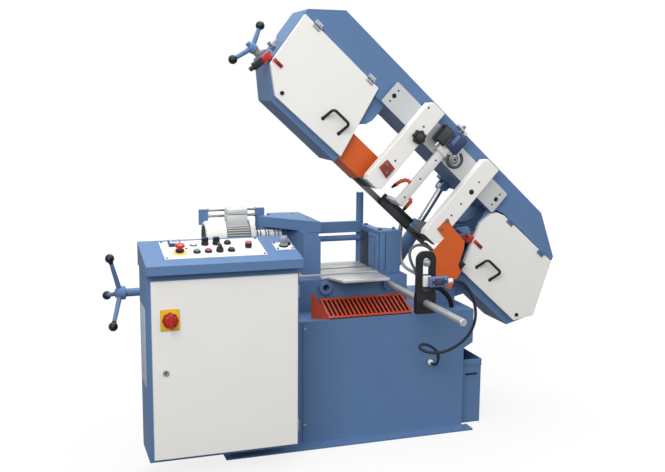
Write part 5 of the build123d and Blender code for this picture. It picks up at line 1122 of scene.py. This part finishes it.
@dataclass
class Vise:
    """Table plates, jaw fittings, lead screw and handwheel."""

    table_z: Spot = (708.0, 720.0)
    slat_x: Spot = (-300.0, 216.0)
    slats: Sequence[Spot] = ((235, 279.5), (287.5, 332), (368, 430), (438, 500))
    face_x: Spot = (206.0, 216.0)
    face_z: Spot = (720.3, 885.3)
    joint_y: Spot = (259.0, 347.0)
    joint_z: Spot = (734.0, 874.0)
    fixed_top: float = 908.0
    fixed_front: float = 235.0
    moving_top: float = 962.0
    screw_y: float = 350.0
    screw_z: float = 664.0
    thread_start: float = -570.0
    thread_step: float = 5.0
    thread_steps: int = 150
    wheel_x: float = -940.0
    reach: float = 170.0
    dish: float = 46.0
    first_turn: float = -15.0

    def build(self) -> None:
        """Make the vise's pieces."""
        self.table()
        self.jaw_fittings()
        self.screw()
        self.handwheel()

    def on_screw(self, x: float) -> Point:
        """Return the point of the screw's axis at x."""
        return x, self.screw_y, self.screw_z

    def table(self) -> None:
        """Make the ground plates, and the fixed jaw's face, painted dark as shade, with its joints."""
        table = Shape()
        low, top = self.table_z
        outline = ((-90, 195), (202, 195), (202, 60), (-20, 60), (-60, 165), (-90, 165))
        table.plate(GROUND_STEEL, outline, "Z", low, top, 1.2)
        left, right = self.slat_x
        for front, back in self.slats:
            table.block(GROUND_STEEL, (left, front, low), (right, back, top), 1.2)
        (left, right), (low, high) = self.face_x, self.face_z
        # The fixed jaw's face is painted dark blue-grey as shade.
        table.block(SHADED_JAW_AND_JOINT_STEEL, (left, 352, low), (right, 455, high), 1.0)
        table.block(BLUE_ENAMEL, (left, 235, low), (right, 350, high), 1.0)
        (front, back), (low, high) = self.joint_y, self.joint_z
        for y in (front, back):
            table.block(BLACK_STEEL, (left - 0.4, y - 1.5, low), (left + 0.4, y + 1.5, high), 0.1)
        for z in (low, high):
            table.block(BLACK_STEEL, (left - 0.4, front, z - 1.5), (left + 0.4, back, z + 1.5), 0.1)
        table.bolts(BLACK_STEEL, [(left + 0.2, 403, z) for z in (760, 852)], LEFT, 7.0, 0.9)
        table.done("table_and_face", "base", ("table_plates",))

    def jaw_fittings(self) -> None:
        """Make the bolts and joints of both jaws."""
        fixed = Shape()
        top, front = self.fixed_top, self.fixed_front
        fixed.bolts(BLACK_STEEL, [(234, y, top) for y in (268, 452)], UP, 9.0, 6.0)
        fixed.bolt(BLUE_ENAMEL, (300, 262, top), UP, 8.0, 12.0)
        fixed.block(SHADED_JAW_AND_JOINT_STEEL, (217, front - 0.8, 712), (219, front + 0.1, 905), 0.2)
        fixed.block(BLUE_ENAMEL, (222, front - 3.5, 722), (248, front + 0.2, 893), 1.0)
        fixed.block(SHADED_JAW_AND_JOINT_STEEL, (250, front - 0.7, 720), (252, front + 0.1, 896), 0.2)
        fixed.done("fixed_jaw_trim", "base")
        moving = Shape()
        top = self.moving_top
        for x, y in ((-117, 536), (-85, 403)):
            moving.turned(BLACK_STEEL, ((9, 0), (9, 0.3), (0, 0.3)), (x, y, top + 0.3), UP, 24)
            moving.bolt(BLACK_STEEL, (x, y, top), UP, 7.4, 1.0)
        moving.block(SHADED_JAW_AND_JOINT_STEEL, (-151, front - 0.6, 913.4), (-71, front + 0.1, 915.2), 0.2)
        moving.done("moving_jaw_trim", "jaw")

    def screw(self) -> None:
        """Make the painted shaft, its collar and the threaded screw."""
        screw = Shape()
        start, step, count = self.thread_start, self.thread_step, self.thread_steps
        screw.rod(BLUE_ENAMEL, self.on_screw(self.wheel_x), self.on_screw(start), 18.0)
        collar = ((18, 0), (25, 0), (26, 1), (26, 21), (25, 22), (18, 22))
        screw.turned(BLUE_ENAMEL, collar, self.on_screw(start - 54), RIGHT)
        ridges = [(13.9 if number % 2 else 11.4, step * number) for number in range(count + 1)]
        profile = [(0, 0), *ridges, (0, step * (count + 1))]
        screw.turned(GROUND_STEEL, profile, self.on_screw(start), RIGHT, 28)
        screw.done("lead_screw", "vise_drive", ("vise_screw",))

    def handwheel(self) -> None:
        """Make the hub, the three dished spokes and their ball grips."""
        wheel = Shape()
        profile = ((0, 0), (24, 0), (30, 3), (30, 30), (26, 36), (20, 42), (19, 46), (0, 46))
        wheel.turned(BLUE_ENAMEL, profile, self.on_screw(self.wheel_x), LEFT)
        wheel.turned(BLACK_STEEL, ((10, 0), (9, 2), (0, 2)), self.on_screw(self.wheel_x - 46), LEFT)
        hub = Vector(self.on_screw(self.wheel_x - 23))
        for number in range(3):
            turn = math.radians(self.first_turn + 120 * number)
            grip = hub + Vector((-self.dish, math.sin(turn) * self.reach, math.cos(turn) * self.reach))
            wheel.rod(BLUE_ENAMEL, hub, grip, 11.5, 0.6, 8.6)
            wheel.rod(BLACK_PLASTIC, hub.lerp(grip, 0.86), grip, 10.5, 0.8)
            wheel.ball(BLACK_PLASTIC, grip, 20.0)
        wheel.done("vise_wheel", "vise_drive", ("vise_handwheel",))


@dataclass
class PowerPack:
    """Finned motor, cowl, terminal box, pump and bright tie rods."""

    back: float = 452.0
    height: float = 880.0
    motor_x: Spot = (-474.0, -360.0)
    pump_x: Spot = (-336.0, -202.0)
    pump_rings: Sequence[Spot] = ((0, 16), (22, 8), (36, 20), (62, 8), (76, 24), (106, 10), (122, 14))
    cowl_radius: float = 75.0
    cowl_length: float = 96.0
    tie_x: Spot = (-533.0, -302.0)
    tie_back: float = 537.0
    tie_heights: Sequence[float] = (966, 994)
    nut_long: float = 7.0

    def build(self) -> None:
        """Make the power pack's pieces."""
        self.motor()
        cowl = Shape()
        cowl.cowl(PALE_PLASTIC, self.on_axis(self.motor_x[0]), self.cowl_radius, self.cowl_length)
        cowl.done("fan_cowl", "base", ("motor_cowl",))
        self.tie_rods()

    def on_axis(self, x: float) -> Point:
        """Return the point of the motor's axis at x."""
        return x, self.back, self.height

    def motor(self) -> None:
        """Make the finned motor with its flange, pump, foot and terminal box."""
        motor = Shape()
        back = self.back
        (left, right), (pump, pump_end) = self.motor_x, self.pump_x
        motor.rod(DARK_ALLOY, self.on_axis(left), self.on_axis(right), 62.0)
        motor.fins(PALE_ALLOY, (back, self.height), (58, 70), left + 4, right - 4)
        flange = ((0, 0), (73, 0), (75, 2), (75, 20), (70, 24), (40, 24), (0, 24))
        motor.turned(PALE_ALLOY, flange, self.on_axis(right), RIGHT, 56)
        for turn in (45, 135, 225, 315):
            bend = math.radians(turn)
            spot = (pump, back + 60 * math.cos(bend), self.height + 60 * math.sin(bend))
            motor.bolt(ZINC, spot, RIGHT, 6.0, 5.0)
        motor.rod(BLACK_STEEL, self.on_axis(pump), self.on_axis(pump_end), 17.0)
        for start, wide in self.pump_rings:
            motor.rod(PALE_ALLOY, self.on_axis(pump + start), self.on_axis(pump + start + wide), 24.0)
        motor.block(PALE_ALLOY, (-463, back - 37, 805.5), (-371, back + 37, 830), 2.0)
        motor.block(PALE_ALLOY, (-463, back - 40, 930), (-371, back + 40, 984), 3.0)
        motor.block(PALE_ALLOY, (-464, back - 41, 986), (-370, back + 41, 1011), 4.0)
        lid = [(x, back + side, 1010.6) for x in (-454, -380) for side in (-32, 32)]
        motor.bolts(ZINC, lid, UP, 4.0, 1.4)
        motor.block(DARK_ALLOY, (-461, back - 38, 983), (-373, back + 38, 987), 0.5)
        motor.done("finned_motor", "base", ("pack_motor",))

    def tie_rods(self) -> None:
        """Make the tie rods' bright sleeves and nuts."""
        rods = Shape()
        left, right = self.tie_x
        for up in self.tie_heights:
            rods.rod(CHROME, (left, self.tie_back, up), (right, self.tie_back, up), 6.4, 0.3)
            for x in (left, right - self.nut_long):
                rods.plate(ZINC, ring_points(10, 6, (self.tie_back, up)), "X", x, x + self.nut_long)
        rods.done("tie_rod_sleeves", "base")


@dataclass
class LengthStop:
    """Probe switch, its clamp, the cable and the gland."""

    rod_x: float = 240.0
    probe_z: float = 767.0
    clamp_z: float = 844.0
    gland_at: Spot = (380.0, 330.0)
    cable_length: float = 845.0
    cable_route: Sequence[Point] = (
        (348, -276, 767), (392, -276, 767), (438, -264, 716), (470, -250, 660), (486, -238, 600),
        (482, -226, 542), (458, -212, 492), (414, -198, 452), (362, -186, 428), (308, -172, 424),
        (264, -140, 438), (290, -98, 448), (342, -86, 434), (386, -92, 396), (380, -84, 330), (380, -28, 330),
    )

    def build(self) -> None:
        """Make the length stop's pieces."""
        self.probe()
        x, z = self.gland_at
        gland = Shape()
        gland.plate(ZINC, ring_points(14, 6, self.gland_at), "Y", 0, -10, 0.8)
        nut = ((13, 0), (13, 6), (11.5, 12), (8.5, 17), (7, 18), (0, 18))
        gland.turned(PALE_PLASTIC, nut, (x, -10, z), FRONT)
        gland.done("gland_nut", "base", ("cable_gland",))
        Hose("probe_cable", Place.MACHINE, self.cable_route, 13.0, CABLE_JACKET, "length_stop", "base",
             "switch_cable", self.cable_length, "limp").build()

    def probe(self) -> None:
        """Make the probe switch with its cable nut, and the clamp's bolt above it."""
        probe = Shape()
        x, z = self.rod_x, self.probe_z
        probe.block(PALE_PLASTIC, (x - 18, -262, z - 23), (x + 18, -248.2, z + 23), 3.0)
        probe.rod(PALE_PLASTIC, (x, -230, z), (x, -249, z), 13.0)
        probe.block(SLATE_PLASTIC, (x, -290, z - 21), (x + 84, -261.5, z + 21), 3.5)
        probe.block(NAVY_PLASTIC, (x + 8, -291.2, z - 15), (x + 76, -289, z + 15), 1.2)
        lid = [(x + side, -291, z + up) for side in (14, 70) for up in (-11, 11)]
        probe.bolts(ZINC, lid, FRONT, 3.0, 1.0)
        probe.turned(WINE_PLASTIC, ((6, 0), (5, 2), (0, 2.4)), (x + 42, -291, z), FRONT, 20)
        probe.plate(PALE_PLASTIC, ring_points(12.2, 6, (-276, z)), "X", x + 84, x + 96, 0.8)
        probe.rod(PALE_PLASTIC, (x + 96, -276, z), (x + 108, -276, z), 10.5, 1.5)
        z = self.clamp_z
        probe.plate(ZINC, ring_points(12, 6, (x, z)), "Y", -248.2, -258, 0.8)
        probe.rod(ZINC, (x, -226, z), (x, -262, z), 6.5)
        probe.turned(ZINC, ((6.5, 0), (17, 0), (17, 2.4), (6.5, 2.4)), (x, -248, z), FRONT, 30)
        probe.done("probe_switch", "length_stop", ("stop_switch",))


@dataclass
class BaseTrim:
    """Seam and screws of the base sheet, dark chip tray, hoses and the bin's rim."""

    seam_x: float = -226.0
    anchor_x: Sequence[float] = (-548, 543)
    anchor_y: Sequence[float] = (26, 534)
    foot_top: float = 8.0
    jaw_hose: Sequence[Point] = (
        (337, 262, 932), (337, 262, 880), (335, 258, 830), (334.5, 254, 790), (337, 250, 758),
        (352, 246, 730), (385, 242, 708), (420, 240, 690), (438, 242, 640), (440, 246, 563),
    )
    coolant_hose: Sequence[Point] = (
        (432, 214, 563), (428, 212, 640), (404, 206, 700), (372, 200, 748), (356, 196, 790),
        (358, 192, 822), (386, 188, 842), (424, 186, 840), (456, 184, 824), (470, 184, 812),
    )
    base_hose: Sequence[Point] = (
        (372, 72, 563), (374, 70, 620), (396, 64, 664), (448, 60, 662), (490, 60, 626), (514, 62, 590),
        (518, 64, 563),
    )
    bin_handle: tuple[float, float, float] = (590.0, 640.0, 240.0)

    def build(self) -> None:
        """Make the base's small pieces."""
        trim = Shape()
        seam = self.seam_x
        trim.block(SHADED_JAW_AND_JOINT_STEEL, (seam - 1, -0.5, 12), (seam + 1, 0.2, 552), 0.1)
        trim.bolts(ZINC, [(seam + 10, 0, up) for up in (93, 530)], FRONT, 6.0, 3.0)
        trim.plate(BLACK_STEEL, ((9, 562.4), (144, 562.4), (144, 616), (12, 563)), "X", -100.6, 291.6, 0.3)
        washer = ((14, 0), (14, 2), (8.6, 2), (8.6, 0))
        for x in self.anchor_x:
            for y in self.anchor_y:
                trim.turned(ZINC, washer, (x, y, self.foot_top), UP, 24)
        trim.done("base_trim", "base")
        clip = Shape()
        clip.block(ZINC, (325, 254, 908), (346, 270, 914))
        clip.rod(ZINC, (337, 262, 900), (337, 262, 926), 9.5, 1.0)
        clip.done("hose_clip", "base")
        Hose("jaw_hose", Place.MACHINE, self.jaw_hose, 16.0, PALE_HOSE, "base").build()
        Hose("coolant_hose", Place.MACHINE, self.coolant_hose, 14.0, GREY_HOSE, "base", "bow").build()
        Hose("base_hose", Place.MACHINE, self.base_hose, 22.0, BLACK_HOSE, "base").build()
        self.bin_rim()

    def bin_rim(self) -> None:
        """Make the chip bin's turned rim and its handle."""
        rim = Shape()
        rim.block(BLUE_ENAMEL, (562, 33, 277), (668, 35.1, 309.6))
        rim.block(BLUE_ENAMEL, (666.9, 33, 277), (668.6, 306, 309.6))
        left, right, z = self.bin_handle
        rim.rod(BLACK_STEEL, (left, 31, z), (right, 31, z), 4.0)
        for x in (left, right):
            rim.rod(BLACK_STEEL, (x, 35.5, z), (x, 28, z), 4.0)
        rim.done("bin_rim", "bin")


@dataclass
class WheelDoor:
    """Handle, lock, interlock key and hinge leaves of one wheel door."""

    name: str
    body: str
    node: str
    handle_u: float
    lock_at: Spot
    key_span: Spot
    key_n: float
    hinges: Sequence[float]
    leaf: Finish
    face: float = 100.0
    handle_half: float = 49.0
    handle_out: float = 60.0
    handle_n: Spot = (184.0, 241.0)
    leaf_n: Spot = (441.0, 455.0)

    def build(self) -> None:
        """Make the door's fittings."""
        fittings = Shape(Place.BOW)
        face, out = self.face, self.handle_out
        left, right = self.handle_u - self.handle_half, self.handle_u + self.handle_half
        foot, grip = self.handle_n
        corners = ((left, face + 2, foot), (left, out, grip), (right, out, grip), (right, face + 2, foot))
        fittings.tube(BLACK_PLASTIC, bent_line(corners, 16, 8), 6.4, 18)
        for side in (left, right):
            spot = (side, face, foot + 2)
            fittings.turned(BLACK_PLASTIC, ((9, 0), (9, 1.5), (7, 3), (0, 3)), spot, FRONT, 28)
        u, n = self.lock_at
        lock = ((9, 0), (9, 4), (7.5, 6), (5.5, 6), (5.2, 4), (0, 4))
        fittings.turned(BLACK_STEEL, lock, (u, face, n), FRONT, 32)
        fittings.block(BLACK_PLASTIC, (u - 1.2, face - 6.2, n - 5), (u + 1.2, face - 3, n + 5), 0.2)
        (start, end), n = self.key_span, self.key_n
        fittings.block(RED_PLASTIC, (start, face - 5.8, n - 8.5), (end, face, n + 8.5), 1.2)
        fittings.block(WINE_PLASTIC, (end - 34, face - 7.2, n - 6), (end - 3, face - 5, n + 6))
        fittings.bolts(BLACK_STEEL, [(end - back, face - 7.2, n) for back in (28, 18, 8)], FRONT, 3.4, 0.8)
        low, high = self.leaf_n
        for middle in self.hinges:
            fittings.block(self.leaf, (middle - 20, face - 2.4, low), (middle + 20, face + 0.1, high), 0.5)
            screws = [(middle + side, face - 2.4, low + 6) for side in (-12, 12)]
            fittings.bolts(self.leaf, screws, FRONT, 3.2, 1.0)
        fittings.done(self.name, self.body, (self.node,))


@dataclass
class Bow:
    """What rides on the swinging bow: doors, hinges, switches, rail screws, teeth, drive and hoses."""

    hinges: Sequence[float] = (-1305.0, -973.0, 2.0, 235.0)
    knuckles: Sequence[Spot] = ((-20, -8), (-7, 7), (8, 20))
    barrel_at: Spot = (95.0, 460.5)
    rail_face: float = 90.0
    arm_face: float = 45.0
    star_at: Spot = (-653.0, 413.5)
    dial_at: Spot = (-444.0, 462.0)
    tooth_pitch: float = 8.0
    tooth_span: Spot = (-850.0, -228.0)
    tooth_count: int = 77
    gearbox: tuple[float, float, float, float] = (95.0, 285.0, 345.2, 470.0)
    wheel_across: float = 287.5
    motor_end: float = -145.0
    cowl_length: float = 84.0
    loop_at: Spot = (-447.0, 461.0)
    loop_radius: float = 38.0
    drive_hoses: Sequence[Point] = ((-150, -232, 250), (-126, -214, 236), (-100, -196, 220))

    def build(self) -> None:
        """Make the bow's pieces."""
        WheelDoor("idler_door_fittings", "left_cover", "idler_fittings", handle_u=-975.0,
                  lock_at=(-1232, 141.5), key_span=(-1354, -1305), key_n=221.5, hinges=self.hinges[:2],
                  leaf=ZINC).build()
        WheelDoor("drive_door_fittings", "right_cover", "drive_fittings", handle_u=64.0,
                  lock_at=(347, 153.5), key_span=(-84, -30), key_n=267.5, hinges=self.hinges[2:],
                  leaf=BLUE_ENAMEL).build()
        self.hinge_knuckles()
        self.switches()
        self.rail_and_arms()
        self.guide()
        self.teeth()
        self.drive()
        self.hoses()

    def hinge_knuckles(self) -> None:
        """Make the hinges' fixed leaves and barrels."""
        hinges = Shape(Place.BOW)
        y, n = self.barrel_at
        for middle, finish in zip(self.hinges, (ZINC, ZINC, BLUE_ENAMEL, BLUE_ENAMEL)):
            for low, high in self.knuckles:
                hinges.rod(finish, (middle + low, y, n), (middle + high, y, n), 5.2, 0.6, None, 20)
            hinges.rod(finish, (middle - 22, y, n), (middle + 22, y, n), 2.6, 0.4, None, 14)
            hinges.block(finish, (middle - 20, 106.5, 464), (middle + 20, 110, 479), 0.6)
            hinges.block(finish, (middle - 20, 96, 462), (middle + 20, 110, 466), 0.6)
            hinges.bolts(finish, [(middle + side, 106.5, 473) for side in (-12, 12)], FRONT, 3.2, 1.0)
        hinges.done("hinge_knuckles", "bow", ("door_hinges",))

    def switches(self) -> None:
        """Make the two door switches, the feed sensor's boxes, their bracket and the dial."""
        boxes = Shape(Place.BOW)
        head, foot = ((-1360, 226), (-1390, 236)), ((-1377, 136), (-1407, 146))
        waist = [((a[0] + b[0]) / 2, (a[1] + b[1]) / 2) for a, b in zip(head, foot)]
        boxes.plate(RED_PLASTIC, (*head, *waist[::-1]), "Y", 140, 104, 2.5)
        boxes.plate(BLACK_PLASTIC, (*waist, *foot[::-1]), "Y", 140, 106, 2.5)
        boxes.rod(BLACK_PLASTIC, (-1391, 123, 143), (-1395, 123, 122), 10.0)
        bracket = ((-193, 251), (-188, 262), (-150, 300), (-113, 291), (-128, 262))
        boxes.plate(BLUE_ENAMEL, bracket, "Y", 120, 115, 1.0)
        switch = ((-140, 250), (-124, 276), (-91, 282), (-88, 252), (-104, 240))
        boxes.plate(RED_PLASTIC, switch, "Y", 140, 104, 2.5)
        boxes.block(BLACK_PLASTIC, (-134, 102, 254), (-116, 106, 266), 1.0)
        for wall in (-546, -486):
            boxes.block(PALE_ENAMEL, (wall, 65.7, 439), (wall + 16, 90, 519), 1.0)
        boxes.block(PALE_ENAMEL, (-546, 55.7, 439), (-470, 65.5, 519), 1.5)
        boxes.block(BLACK_PLASTIC, (-586, 40, 464), (-532, 90, 548), 3.5)
        boxes.block(DARK_PLASTIC, (-580, 38.4, 470), (-538, 41, 542), 1.5)
        boxes.rod(ZINC, (-560, 52, 464), (-560, 52, 440), 8.0, 1.5)
        boxes.block(NAVY_PLASTIC, (-524, 33.7, 474), (-458, 56, 562), 4.0)
        boxes.block(SLATE_PLASTIC, (-516, 32.4, 498), (-500, 35, 550), 1.5)
        boxes.block(PALE_PLASTIC, (-505, 52, 462), (-488, 64, 476), 2.0)
        boxes.rod(ZINC, (-540, 60, 585), (-484, 60, 585), 9.0, 1.5)
        boxes.rod(SLATE_PLASTIC, (-508, 60, 560), (-508, 60, 606), 8.0, 1.5)
        boxes.rod(PALE_PLASTIC, (-492, 60, 585), (-478, 60, 585), 12.0, 1.5)
        u, n = self.dial_at
        boxes.plate(ZINC, ring_points(23, 96, self.dial_at, 0.5, 32), "Y", self.rail_face, 62, 1.0)
        boxes.rod(GREY_PLASTIC, (u, 62.2, n), (u, 54, n), 15.0, 1.5)
        boxes.rod(BLACK_STEEL, (u, 54.2, n), (u, 50, n), 5.0, 0.8)
        boxes.done("switches_and_sensor", "bow", ("limit_switches",))

    def rail_and_arms(self) -> None:
        """Make the screws and plugs on the rail, the fixed arm and the guards."""
        fixed = Shape(Place.BOW)
        rail, arm = self.rail_face, self.arm_face
        plug = ((11, 0), (10.4, 1.5), (6, 1.5), (5.5, 0.3), (0, 0.3))
        for u in (-847, -138):
            fixed.turned(BLACK_STEEL, plug, (u, rail + 1.6, 479), FRONT, 28)
            fixed.bolts(BLACK_STEEL, [(u, rail, n) for n in (449, 509)], FRONT, 4.2, 1.2)
        fixed.turned(BLACK_PLASTIC, ((12, 0), (12, 1.6), (10, 2.4), (0, 2.4)), (-281, arm, 409), FRONT, 30)
        fixed.bolts(BLACK_STEEL, [(-283, arm, n) for n in (266, 335, 467)], FRONT, 4.4, 1.6)
        fixed.bolts(DARK_ALLOY, ((-285, arm - 4, 234), (-279, arm - 4, 190)), FRONT, 9.0, 5.0)
        fixed.block(BLACK_PLASTIC, (-122, 46, 112), (-66, 70, 150), 2.0)
        fixed.block(BLACK_STEEL, (-326, 46, 112.5), (-252, 90, 115.6), 0.6)
        fixed.rod(ZINC, (-176, 46, 113), (-176, 192, 113), 7.5)
        fixed.rod(ZINC, (-1364, 200, 282), (-1380, 200, 282), 19.0, 1.5, None, 6)
        fixed.rod(ZINC, (-1379, 200, 282), (-1402, 200, 282), 13.0, 1.5)
        fixed.rod(PALE_PLASTIC, (-1390, 200, 278), (-1390, 200, 314), 13.5, 2.0)
        fixed.rod(ZINC, (-1390, 200, 313), (-1390, 200, 322), 9.0, 1.0)
        fixed.done("bow_fasteners", "bow")

    def guide(self) -> None:
        """Make the sliding guide's screws and guard plate, and its star knob."""
        arm = self.arm_face
        sliding = Shape(Place.BOW)
        screws = [(u, arm, n) for u, n in ((-664, 464), (-663, 264), (-704, 540))]
        sliding.bolts(BLACK_STEEL, screws, FRONT, 4.6, 1.6)
        guard = ((-702, 192), (-696, 242), (-644, 236), (-644, 178))
        sliding.plate(BROWN_COAT, guard, "Y", arm, arm - 9, 1.2)
        sliding.bolts(DARK_ALLOY, ((-684, arm - 9, 222), (-661, arm - 9, 198)), FRONT, 8.0, 5.0)
        sliding.done("guide_fasteners", "guide")
        u, n = self.star_at
        star = Shape(Place.BOW)
        star.plate(BLACK_PLASTIC, ring_points(30, 140, self.star_at, 3.0, 7), "Y", arm - 0.4, 24, 4.0)
        star.turned(DARK_PLASTIC, ((14, 0), (14, 2.5), (11, 3.5), (0, 3.5)), (u, 24.2, n), FRONT)
        star.done("star_knob", "clamp_knob", ("guide_knob",))

    def teeth(self) -> None:
        """Make the band's teeth where it stands upright between the guides."""
        teeth = Shape(Place.BOW)
        end, start = self.tooth_span
        root, gullet, tip = 105.0, 103.6, 100.6
        outline = [(start, root)]
        for number in range(self.tooth_count):
            right = start - self.tooth_pitch * number
            outline += [(right, gullet), (right - 1.6, tip), (right - self.tooth_pitch + 0.6, gullet)]
        teeth.plate(BAND_STEEL, [*outline, (end, root)], "Y", 214.6, 215.4, 0)
        teeth.done("band_teeth", "bow")

    def drive(self) -> None:
        """Make the gearbox and the finned motor behind the drive wheel, in a darker blue that paints their
        shade.
        """
        unit = Shape(Place.BOW)
        left, right, front, back = self.gearbox
        middle = self.wheel_across
        unit.block(SHADED_BLUE_ENAMEL, (left, front, middle - 92.5), (right, back - 6, middle + 92.5), 8.0)
        unit.block(SHADED_BLUE_ENAMEL, (left + 12, back - 8, middle - 80), (right - 12, back, middle + 80), 3.0)
        lid = [(u, back - 0.2, middle + side) for u in (left + 24, right - 24) for side in (-68, 0, 68)]
        unit.bolts(ZINC, lid, BACK, 6.5, 4.0)
        u, n = left + 95, middle - 48
        unit.rod(ZINC, (u, back - 0.2, n), (u, back + 5, n), 10.0, 1.0, None, 6)
        y, n = front + 85, middle + 42
        flange = ((0, 0), (68, 0), (70, 2), (70, 16), (68, 18), (0, 18))
        unit.turned(SHADED_BLUE_ENAMEL, flange, (left + 0.5, y, n), LEFT, 56)
        cowl_at = self.motor_end + self.cowl_length
        unit.rod(SHADED_BLUE_ENAMEL, (left - 17, y, n), (cowl_at - 3, y, n), 60.0)
        unit.fins(SHADED_BLUE_ENAMEL, (y, n), (58, 68), left - 22, cowl_at + 1)
        unit.cowl(SHADED_BLUE_ENAMEL, (cowl_at, y, n), 70, self.cowl_length)
        unit.block(SHADED_BLUE_ENAMEL, (left - 130, y - 34, n + 56), (left - 46, y + 34, n + 92), 4.0)
        unit.block(DARK_PLASTIC, (left - 128, y - 32, n + 91), (left - 48, y + 32, n + 94), 0.6)
        unit.block(SHADED_BLUE_ENAMEL, (left - 132, y - 36, n + 93.5), (left - 44, y + 36, n + 108), 4.0)
        unit.done("geared_motor", "bow", ("drive_unit",))

    def hoses(self) -> None:
        """Make the hoses that hang on the bow."""
        u, n = self.loop_at
        turns = [math.radians(185 + 260 * step / 8) for step in range(9)]
        radius = self.loop_radius
        loop = [(u + radius * math.cos(turn), 50, n + radius * math.sin(turn)) for turn in turns]
        Hose("sensor_loop", Place.BOW, loop, 14.0, DARK_HOSE, "bow").build()
        for number, (top_u, foot_u, foot_n) in enumerate(self.drive_hoses, 1):
            route = ((top_u, 150, 424), (top_u + 4, 140, 390), (top_u + 12, 132, 340), (top_u - 30, 128, 290),
                     (foot_u + 16, 126, foot_n + 16), (foot_u - 20, 124, foot_n - 22))
            Hose(f"drive_hose_{number}", Place.BOW, route, 15.0, BLUE_HOSE, "bow").build()


@dataclass
class FeedSensor:
    """White sensor bar with black touch bars, and two jointed coolant nozzles."""

    touch_u: Spot = (-540.0, -345.0)
    left_nozzle: Sequence[Point] = ((-530, 76, 247), (-550, 76, 247), (-560, 100, 226), (-563, 124, 186))
    right_nozzle: Sequence[Point] = ((-486, 76, 192), (-468, 76, 192), (-456, 108, 164), (-450, 122, 140))
    bead_pitch: float = 12.0
    tip_back: float = 24.0
    tip_ahead: float = 4.0

    def build(self) -> None:
        """Make the sensor's pieces."""
        bar = Shape(Place.BOW)
        left, right = self.touch_u
        bar.block(PALE_ENAMEL, (-530, 66, 140.5), (-486, 86, 500), 2.0)
        bar.block(PALE_ENAMEL, (-529.4, 85.5, 141), (-486.6, 193.5, 156.5), 1.5)
        bar.block(BLACK_COAT, (left, 193, 140.5), (right, 209, 156.5), 1.2)
        bar.block(BLACK_COAT, (left, 199, 100.5), (right, 209, 108.5))
        for end in (left, right - 10):
            bar.block(BLACK_COAT, (end, 199, 101), (end + 10, 209, 150))
        bar.block(DARK_PLASTIC, (left + 2, 201, 102), (right - 2, 206, 150), 0.5)
        bar.bolts(BLACK_STEEL, [(u, 193, 148.5) for u in (-520, -440, -365)], FRONT, 5.0, 3.0)
        bar.bolts(BLACK_STEEL, [(-508, 66, n) for n in (180, 290, 400)], FRONT, 4.2, 1.4)
        bar.done("sensor_bar", "sensor", ("sensor_arm",))
        nozzles = Shape(Place.BOW)
        for route in (self.left_nozzle, self.right_nozzle):
            self.beads(nozzles, bent_line(route, 10, 8))
        nozzles.done("jointed_nozzles", "sensor", ("coolant_nozzles",))

    def beads(self, shape: Shape, line: Sequence[Vector]) -> None:
        """String ball joints along a line and end them with a black tip.

        Args:
            shape: The piece that takes them.
            line: Points of the centreline.
        """
        bead = ((4, -6.4), (7.4, -5), (10, 0), (8, 4.4), (5, 6))
        walked = 0.0
        due = 0.0
        last_bead = sum((b - a).length for a, b in zip(line, line[1:])) - self.tip_back - 2
        for start, end in zip(line, line[1:]):
            step = end - start
            while due <= min(walked + step.length, last_bead):
                shape.turned(ORANGE_PLASTIC, bead, start + step * ((due - walked) / step.length), step, 20)
                due += self.bead_pitch
            walked += step.length
        shape.tube(WINE_PLASTIC, line, 4.8, 12)
        end = line[-1]
        way = (end - line[-2]).normalized()
        shape.rod(BLACK_PLASTIC, end - way * self.tip_back, end + way * self.tip_ahead, 9.0, 0.6, 5.0)


@dataclass
class TensionHandle:
    """Blue hub with two dished arms, ball grips, spring washers and the screw."""

    back: float = 290.0
    n: float = 230.0
    hub_u: float = -1406.0
    screw_end: float = -1146.0
    washer_u: float = -1386.0
    washer_pitch: float = 4.0
    washers: int = 5
    reach: float = 106.0
    dish: float = 34.0
    first_turn: float = 16.0

    def on_screw(self, u: float) -> Point:
        """Return the point of the tension screw's axis at u."""
        return u, self.back, self.n

    def build(self) -> None:
        """Make the handle."""
        handle = Shape(Place.BOW)
        start = self.hub_u
        profile = ((0, 0), (19, 0), (22, 2), (22, 26), (19, 31), (12, 34), (0, 34))
        handle.turned(BLUE_ENAMEL, profile, self.on_screw(start), LEFT)
        handle.rod(BLUE_ENAMEL, self.on_screw(start - 33), self.on_screw(start - 48), 11.5, 2.5)
        handle.rod(GROUND_STEEL, self.on_screw(start - 1), self.on_screw(self.screw_end), 9.8)
        washer = ((9.9, 0), (19, 0.6), (19, 2.2), (9.9, 3.2))
        for number in range(self.washers):
            spot = self.on_screw(self.washer_u - self.washer_pitch * number)
            handle.turned(SPRING_STEEL, washer, spot, LEFT, 32)
        hub = Vector(self.on_screw(start - 17))
        for number in range(2):
            turn = math.radians(self.first_turn + 180 * number)
            grip = hub + Vector((-self.dish, self.reach * math.sin(turn), self.reach * math.cos(turn)))
            handle.rod(BLUE_ENAMEL, hub, grip, 11.5, 0.6, 8.8)
            handle.ball(BLACK_PLASTIC, grip, 20.0)
        handle.done("tension_grips", "tension", ("tension_handwheel",))


def dress_nodes() -> None:
    """Give each node that shows as it is its finish."""
    for name, finish in NODE_FINISHES.items():
        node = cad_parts[name]
        node.data.materials.clear()
        node.data.materials.append(finish.material())


def main() -> None:
    """Build the studio and every sub-assembly."""
    logging.basicConfig(level=logging.INFO, format="%(message)s")
    Studio().build()
    dress_nodes()
    assemblies = (
        LengthStop, ControlCabinet, Console, Vise, PowerPack, BaseTrim, Bow, FeedSensor, TensionHandle,
    )
    for assembly in assemblies:
        assembly().build()


if __name__ == "__main__":
    main()
